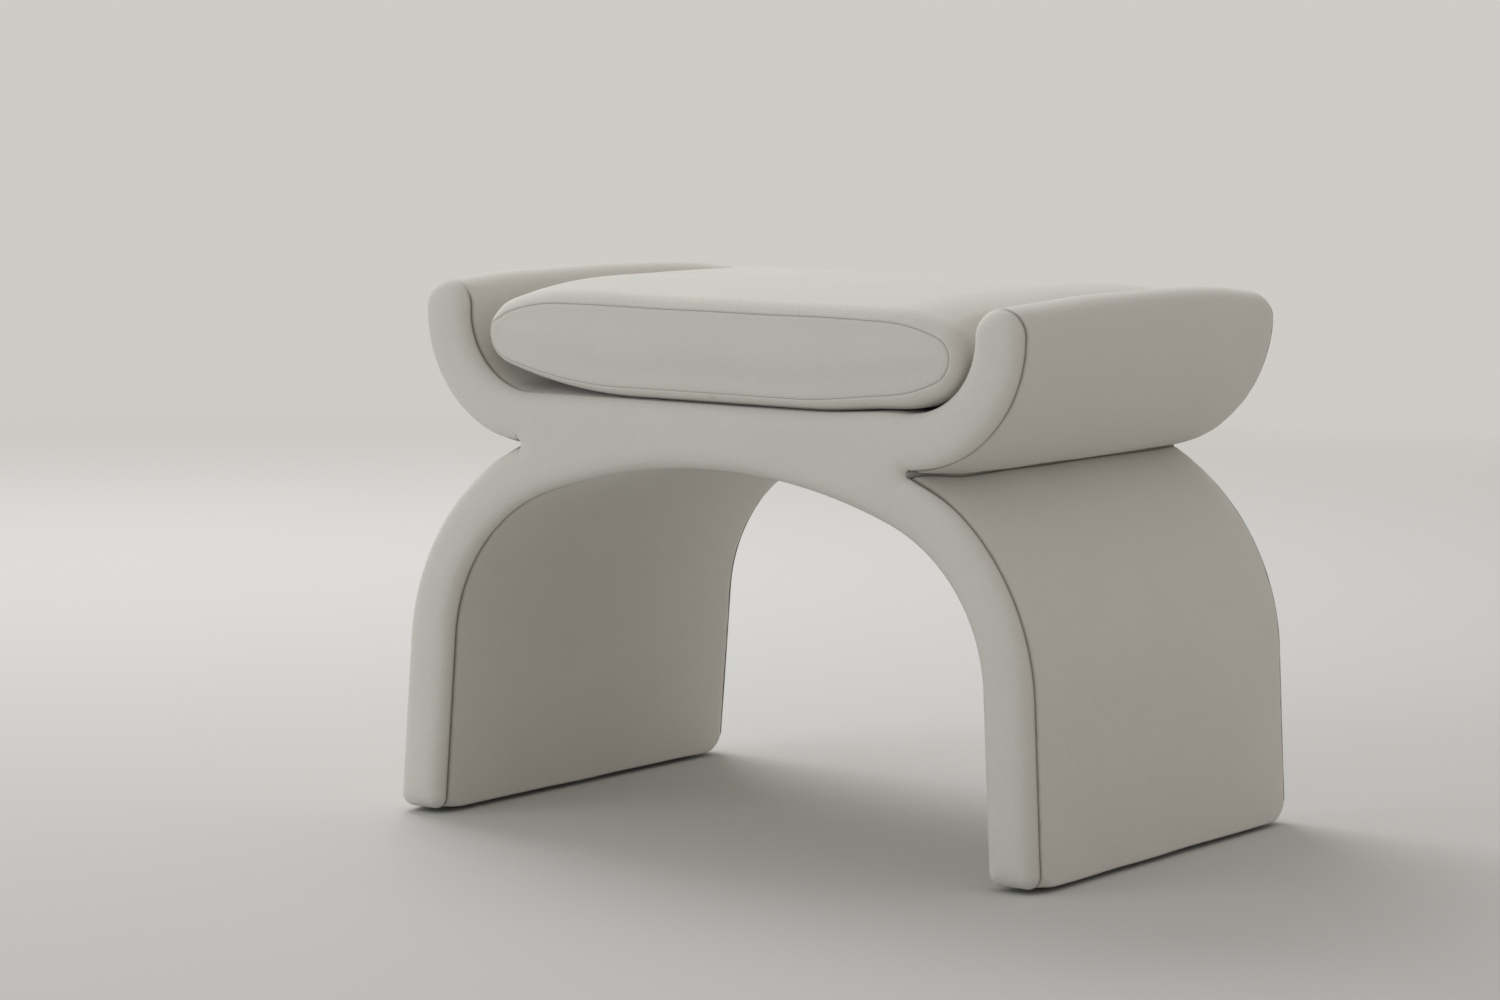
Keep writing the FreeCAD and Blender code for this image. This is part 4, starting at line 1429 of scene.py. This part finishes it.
    def hold(self, points: np.ndarray, section: Trace, pressed: np.ndarray) -> np.ndarray:
        """How firmly the cloth is held: at the seams, on the deck and by the zip.

        Args:
            points: The cushion's points before it is laid in place.
            section: Its oval.
            pressed: Where the deck and the zip hold it, from 0 to 1.

        Returns:
            From 0, free, to 1, fixed, for each point.
        """
        depth = np.abs(points[:, 1])
        by_seam = 1 - smooth(*self.seam_hold, np.abs(depth - self.seam_y))
        by_rim = 1 - smooth(*self.cap_hold, distance_to(section.places, points[:, [0, 2]]))
        by_edge = np.where(depth > self.seam_y - self.cap_start, by_rim, by_seam)
        return np.maximum(by_edge, pressed)

    def above(self, points: np.ndarray, heights: tuple[float, float]) -> np.ndarray:
        """From 0 to 1 as points rise from one height over the seat to another."""
        return smooth(self.seat + heights[0], self.seat + heights[1], points[:, 2])

    def lay(self, points: np.ndarray) -> None:
        """Moves points to where the cushion lies: aside, forward, and down into the right-hand bend."""
        points[:, 0] += self.shift
        corner = hump(points[:, 0], self.sag_place, self.sag_reach)
        points[:, 2] -= self.sag * corner * (1 - self.above(points, self.sag_height))
        points[:, 1] -= self.overhang * smooth(*self.overhang_run, -points[:, 1])

    def build(self) -> None:
        """Makes the cushion and gives it its cloth and its place in the frame."""
        section = self.section()
        count = len(section.places)
        caps = self.cap_rings()
        half = caps + self.rings()
        rings = [(inset, -depth, closeness) for inset, depth, closeness in half] + half[-2::-1]
        runs = section.runs()
        fullness = self.fullness(section)
        ease = 1 - self.left_ease * smooth(*self.ease_run, section.normals @ self.ease_way)
        skin = Skin()
        for number, (inset, depth, closeness) in enumerate(rings):
            share = 1 - min(1.0, abs(depth) / (self.half_depth - self.edge_radius)) ** self.fullness_power
            on_band = len(caps) <= number < len(rings) - len(caps)
            places = section.inset(inset * ease - share * fullness)
            skin.add(places, depth, closeness, runs if on_band else None)
        lattice, triangles = fill_loop(section.inset(rings[0][0] * ease), *self.cap_mesh)
        level = self.cap_depth(distance_to(section.places, lattice))
        total = count * len(rings)
        free = np.zeros(len(lattice))
        sunk = self.zip_channel(lattice)
        faces = grid_faces(count, len(rings), True)
        starts = ((0, total), (total - count, total + len(lattice)))
        flat = self.half_depth - self.zip_sink
        for face, share, (ring, first) in zip(Face, (free, sunk), starts):
            skin.add(lattice, face.value * (level * (1 - share) + flat * share))
            for corners in triangles:
                faces.append(tuple(c + ring if c < count else c - count + first for c in corners))
        points = skin.points
        above = self.above(points, self.hold_height)
        pressed = np.maximum(1 - above, np.concatenate([np.zeros(total), free, sunk]))
        points[:, 2] += above * self.waves * unevenness(points, self.wave_size)
        held = self.hold(points, section, pressed)
        self.lay(points)
        piece = skin.piece("seat_cushion", points, faces)
        self.stuffing.swell(piece, np.maximum(held, skin.seam))
        nodes = ("cushion_core", "cushion_band", "cushion_front_cap", "cushion_rear_cap")
        dress(piece, self.cloth, Body.CUSHION, nodes)


# Hardware under and behind


@dataclass
class DustCovers:
    """Bonded cloth stretched under both legs."""

    cloth: bpy.types.Material
    outline: StoolOutline
    half_length: float = 0.199
    margin: float = 0.004
    thickness: float = 0.0008
    lift: float = 0.0040
    sag: float = 0.0004
    columns: int = 12
    rows: int = 80

    def build(self) -> None:
        """Makes one strip for each leg."""
        sole = self.outline.sole()
        low = sole.places[0][0] + self.margin
        high = sole.places[-1][0] - self.margin
        across = np.linspace(low, high, self.columns)
        dip = self.sag * np.sin(math.pi * (across - low) / (high - low))
        level = self.outline.foot + self.lift - dip
        for side, sign in SIDES:
            skin = Skin()
            for y in np.linspace(-self.half_length, self.half_length, self.rows):
                skin.add(np.stack([sign * across, level], axis=1), y, runs=sign * across)
            faces = grid_faces(self.columns, self.rows, False)
            piece = skin.piece(f"{side}_dust_sheet", skin.points, faces)
            thicken(piece, self.thickness)
            dress(piece, self.cloth, Body.BASE, (f"{side}_dust_cover",))
            high - low


@dataclass
class ZipTape:
    """Woven tape with a closed coil along its middle, sewn into the rear of the cushion."""

    tape: bpy.types.Material
    coil: bpy.types.Material
    width: float = 0.022
    length: float = 0.300
    thickness: float = 0.0008
    rear: float = 0.2085
    height: float = 0.4083
    tooth: Size = (0.0009, 0.0013, 0.0046)
    pitch: float = 0.0015
    stitch_line: float = 0.0078
    stitch: Size = (0.0026, 0.0004, 0.0006)
    stitch_pitch: float = 0.0040
    end_margin: float = 0.006
    softness: float = 0.25

    def build(self) -> None:
        """Makes the tape, and its teeth and stitches as one piece."""
        strip = self.block("zip_tape_strip", (self.length, self.thickness, self.width), (0.0, 0.0, 0.0))
        dress(strip, self.tape, Body.CUSHION, ("zip_tape",))
        teeth = self.row("zip_teeth", self.tooth, self.pitch, 0.0)
        lines = (-self.stitch_line, self.stitch_line)
        stitches = [self.row("zip_stitches", self.stitch, self.stitch_pitch, line) for line in lines]
        only(teeth)
        for line in stitches:
            line.select_set(True)
        bpy.ops.object.join()
        dress(teeth, self.coil, Body.CUSHION)

    def block(self, name: str, size: Size, start: Place) -> bpy.types.Object:
        """A softened block on the rear of the cushion.

        Args:
            name: The block's name.
            size: Its length, thickness and width.
            start: Its place along the zip, off the cushion and above the zip's middle.

        Returns:
            The block, with its place in its mesh.
        """
        bpy.ops.object.select_all(action="DESELECT")
        along, lift, line = start
        place = (along, self.rear + lift + size[1] / 2, self.height + line)
        bpy.ops.mesh.primitive_cube_add(size=1.0, location=place, scale=size)
        block = bpy.context.active_object
        block.name = name
        bpy.ops.object.transform_apply(location=True, rotation=True, scale=True)
        bpy.ops.object.mode_set(mode="EDIT")
        bpy.ops.mesh.select_all(action="SELECT")
        bpy.ops.mesh.bevel(offset=self.softness * min(size), segments=1, affect="EDGES")
        bpy.ops.object.mode_set(mode="OBJECT")
        return block

    def row(self, name: str, size: Size, pitch: float, line: float) -> bpy.types.Object:
        """Blocks set side by side along the tape.

        Args:
            name: The row's name.
            size: Size of one block.
            pitch: Distance from block to block.
            line: Height of the row above the zip's middle.

        Returns:
            The row as one object.
        """
        count = int((self.length - self.end_margin) / pitch)
        block = self.block(name, size, (-(count - 1) * pitch / 2, self.thickness, line))
        repeat = block.modifiers.new("row", "ARRAY")
        repeat.count = count
        repeat.use_relative_offset = False
        repeat.use_constant_offset = True
        repeat.constant_offset_displace = (pitch, 0.0, 0.0)
        bpy.ops.object.modifier_apply(modifier=repeat.name)
        return block


# Stage


@dataclass(frozen=True)
class SoftLamp:
    """A square soft lamp."""

    name: str
    place: Place
    size: float
    power: float
    colour: Colour


@dataclass(frozen=True)
class Studio:
    """Plain pale floor, soft light from the left, and the photograph's view."""

    image_width: float = 1500.0
    focal_pixels: float = 4443.94
    sensor: float = 36.0
    place: Place = (2.0214, -3.1461, 0.6598)
    yaw: float = 0.5937
    pitch: float = 0.1040
    roll: float = 0.0145
    floor_size: float = 80.0
    floor_colour: Colour = (0.64, 0.63, 0.61)
    floor_fade: float = 0.06
    fade_start: float = 0.04
    backdrop: Colour = (0.62, 0.60, 0.57)
    room: Colour = (1.0, 0.975, 0.94)
    room_strength: float = 0.51
    aim: Place = (0.0, 0.0, 0.25)
    lamps: tuple[SoftLamp, ...] = (
        SoftLamp("window_lamp", (-2.2, 1.3, 2.8), 2.4, 74.0, (0.96, 0.985, 1.0)),
        SoftLamp("front_lamp", (-2.8, -5.0, 1.8), 3.6, 70.0, (0.83, 0.93, 1.0)),
    )

    def camera(self) -> None:
        """The view of the photograph."""
        level = Vector((math.cos(self.yaw), math.sin(self.yaw), 0.0))
        flat = Vector((-math.sin(self.yaw), math.cos(self.yaw), 0.0))
        ahead = flat * math.cos(self.pitch) - Vector((0.0, 0.0, math.sin(self.pitch)))
        upright = level.cross(ahead)
        right = level * math.cos(self.roll) + upright * math.sin(self.roll)
        up = upright * math.cos(self.roll) - level * math.sin(self.roll)
        lens = bpy.data.cameras.new("view")
        lens.sensor_width = self.sensor
        lens.sensor_fit = "HORIZONTAL"
        lens.lens = self.focal_pixels * self.sensor / self.image_width
        camera = bpy.data.objects.new("view", lens)
        turn = Matrix((right, up, -ahead)).transposed().to_4x4()
        camera.matrix_world = Matrix.Translation(self.place) @ turn
        bpy.context.scene.collection.objects.link(camera)
        bpy.context.scene.camera = camera

    def floor(self) -> None:
        """A wide pale floor that fades into the backdrop."""
        bpy.ops.object.select_all(action="DESELECT")
        bpy.ops.mesh.primitive_plane_add(size=self.floor_size, location=(0.0, 0.0, 0.0))
        floor = bpy.context.active_object
        floor.name = "studio_floor"
        board = Board("studio_floor")
        across, along, _ = board.parts(board.coordinates("Object"))
        reach = (across * across + along * along) * self.floor_fade
        black = (0.0, 0.0, 0.0)
        near = board.ramp(reach, (self.fade_start, self.floor_colour), (1.0, black))
        far = board.ramp(reach, (self.fade_start, black), (1.0, self.backdrop))
        finish = board.surface(
            Base_Color=near, Specular_IOR_Level=0.0, Emission_Color=far, Emission_Strength=1.0
        )
        floor.data.materials.append(finish)

    def lamp(self, lamp: SoftLamp) -> None:
        """Hangs a lamp and aims it at the middle of the stool."""
        light = bpy.data.lights.new(lamp.name, "AREA")
        light.size = lamp.size
        light.energy = lamp.power
        light.color = lamp.colour
        hung = bpy.data.objects.new(lamp.name, light)
        hung.location = lamp.place
        way = Vector(self.aim) - Vector(lamp.place)
        hung.rotation_euler = way.to_track_quat("-Z", "Y").to_euler()
        bpy.context.scene.collection.objects.link(hung)

    def light(self) -> None:
        """Even light from the room, whose backdrop only the camera sees, and the lamps."""
        world = bpy.data.worlds.new("room")
        world.use_nodes = True
        tree = world.node_tree
        seen = tree.nodes.new("ShaderNodeLightPath").outputs["Is Camera Ray"]
        backdrop = tree.nodes.new("ShaderNodeBackground")
        backdrop.inputs["Color"].default_value = (*self.backdrop, 1.0)
        choice = tree.nodes.new("ShaderNodeMixShader")
        room = tree.nodes["Background"]
        room.inputs["Color"].default_value = (*self.room, 1.0)
        room.inputs["Strength"].default_value = self.room_strength
        tree.links.new(seen, choice.inputs["Fac"])
        tree.links.new(room.outputs["Background"], choice.inputs[1])
        tree.links.new(backdrop.outputs["Background"], choice.inputs[2])
        tree.links.new(choice.outputs["Shader"], tree.nodes["World Output"].inputs["Surface"])
        bpy.context.scene.world = world
        for lamp in self.lamps:
            self.lamp(lamp)
        bpy.context.scene.view_settings.view_transform = "Standard"

    def build(self) -> None:
        """Sets up view, floor and light."""
        self.camera()
        self.floor()
        self.light()


def dress_solids(finishes: dict[Slot, bpy.types.Material]) -> None:
    """Gives every solid that still shows the finish of its slot."""
    slots = {part["node"]: part["material_slot"] for part in frame["record"]["subparts"]}
    for name, solid in frame["nodes"].items():
        if solid.hide_render:
            continue
        solid.data.materials.clear()
        solid.data.materials.append(finishes[Slot(slots[name])])


def main() -> None:
    """Builds the stool's looks in order."""
    logging.basicConfig(level=logging.INFO, format="%(name)s %(message)s")
    Studio().build()
    cloth = CLOTH.make()
    finishes = {slot: finish.make() for slot, finish in SOLID_FINISHES.items()}
    outline = StoolOutline()
    base = BaseUpholstery(cloth, outline)
    base.build()
    CreaseRolls(cloth, base).build()
    SeatCushion(cloth).build()
    ZipTape(finishes[Slot.ZIP_TAPE], finishes[Slot.ZIP_METAL]).build()
    DustCovers(finishes[Slot.DUST_CLOTH], outline).build()
    dress_solids(finishes)


if __name__ == "__main__":
    main()
